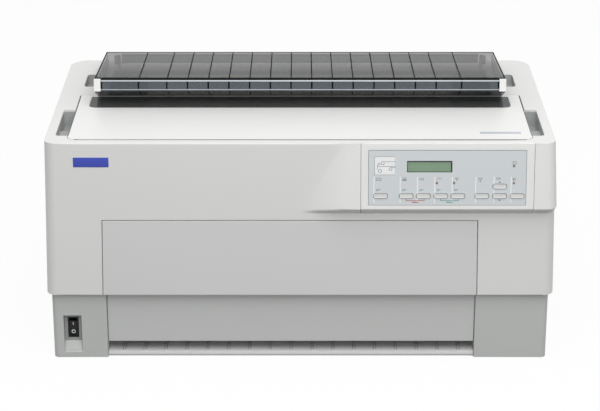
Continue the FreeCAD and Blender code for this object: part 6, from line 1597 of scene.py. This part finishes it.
@dataclass
class Studio:
    """The floor, lights, world and camera."""

    lens: float = 116.8
    shift: float = -0.05
    eye: Point = (0.0, -2.62157, 1.21792)
    tilt: float = 68.962
    daylight: float = 0.60
    floor_size: float = 14.0
    floor_dark: Colour = (0.17, 0.17, 0.17)
    floor_light: Colour = (0.19, 0.19, 0.19)
    floor_shown: float = 0.94
    lamps: tuple[tuple[str, Point, Point, float, float], ...] = (
        ("overhead", (0.15, -1.15, 1.95), (0.0, -0.1, 0.25), 1.7, 21.0),
        ("front", (0.5, -3.0, 1.9), (0.0, 0.0, 0.25), 1.6, 16.0),
    )

    def build(self) -> None:
        """Set up everything that isn't the printer."""
        self.set_camera()
        self.set_world()
        self.lay_floor()
        self.hang_lamps()
        bpy.context.scene.view_settings.view_transform = "Standard"
        log.info("studio set")

    def set_camera(self) -> None:
        """The camera at the photograph's height, distance and angle."""
        data = bpy.data.cameras.new("view")
        data.sensor_width = 36.0
        data.lens = self.lens
        data.shift_y = self.shift
        data.clip_end = 30.0
        camera = bpy.data.objects.new("view", data)
        bpy.context.scene.collection.objects.link(camera)
        camera.location = self.eye
        camera.rotation_euler = (math.radians(self.tilt), 0.0, 0.0)
        bpy.context.scene.camera = camera

    @staticmethod
    def seen(tree: Tree) -> Socket:
        """Find the rays by which the camera sees a surface straight, in a gloss or through a clear sheet.

        Args:
            tree: The material's or world's node tree.

        Returns:
            1 on those rays and 0 on all others.
        """
        path = tree.add("ShaderNodeLightPath").outputs
        clear = tree.maths("MAXIMUM", path["Is Camera Ray"], path["Is Transmission Ray"])
        return tree.maths("MAXIMUM", clear, path["Is Glossy Ray"])

    def set_world(self) -> None:
        """Even pale light, white to the camera and to clear or shiny things."""
        world = bpy.data.worlds.new("studio")
        bpy.context.scene.world = world
        world.use_nodes = True
        tree = Tree(world.node_tree)
        light, white = (tree.add("ShaderNodeBackground", {"Color": WHITE_LIGHT, "Strength": strength})
                        for strength in (self.daylight, 1.0))
        mixed = tree.add("ShaderNodeMixShader", {0: self.seen(tree), 1: light.outputs[0],
                                                 2: white.outputs[0]})
        tree.close(mixed, "ShaderNodeOutputWorld")

    def lay_floor(self) -> None:
        """A plain floor that stays near white and keeps a soft shadow."""
        Bench.clear()
        bpy.ops.mesh.primitive_plane_add(size=self.floor_size, location=(0, 2.0, 0))
        floor = Bench.settle("floor")
        material = bpy.data.materials.new("floor_paint")
        material.use_nodes = True
        tree = Tree(material.node_tree)
        tone_map = tree.noise(tree.add("ShaderNodeTexCoord").outputs["Object"], Scale=1.3)
        shade = tree.mix(tone_map, self.floor_dark, self.floor_light)
        paint = tree.add("ShaderNodeBsdfDiffuse", {"Color": shade}).outputs[0]
        pale = tree.add("ShaderNodeBsdfDiffuse", {"Color": (0.95, 0.95, 0.95, 1)}).outputs[0]
        white = tree.add("ShaderNodeEmission", {"Color": WHITE_LIGHT, "Strength": 1.0}).outputs[0]
        shown = tree.add("ShaderNodeMixShader", {0: self.floor_shown, 1: pale, 2: white}).outputs[0]
        tree.close(tree.add("ShaderNodeMixShader", {0: self.seen(tree), 1: paint, 2: shown}))
        floor.data.materials.append(material)

    def hang_lamps(self) -> None:
        """A large soft light above and a weaker one in front, both a little to the right."""
        for name, place, aim, size, power in self.lamps:
            data = bpy.data.lights.new(name, "AREA")
            data.size = size
            data.energy = power
            lamp = bpy.data.objects.new(name, data)
            bpy.context.scene.collection.objects.link(lamp)
            lamp.location = place
            lamp.rotation_euler = (Vector(aim) - Vector(place)).to_track_quat("-Z", "Y").to_euler()


def dress_frame() -> None:
    """Give every CAD solid its finish."""
    for name, piece in frame["nodes"].items():
        finish = finish_of(name)
        piece.data.materials.clear()
        piece.data.materials.append(finish.material())
        log.info("%s: %s", name, finish.name)


def main() -> None:
    """Build the studio, then each sub-assembly in order."""
    logging.basicConfig(level=logging.INFO, format="%(message)s")
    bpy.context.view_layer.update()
    Studio().build()
    dress_frame()
    for assembly in (Shells, TopCover, Mechanism, ControlPanel, KeyCaps, PanelLamps, RockerMarks, Badges):
        assembly().build()


if __name__ == "__main__":
    main()
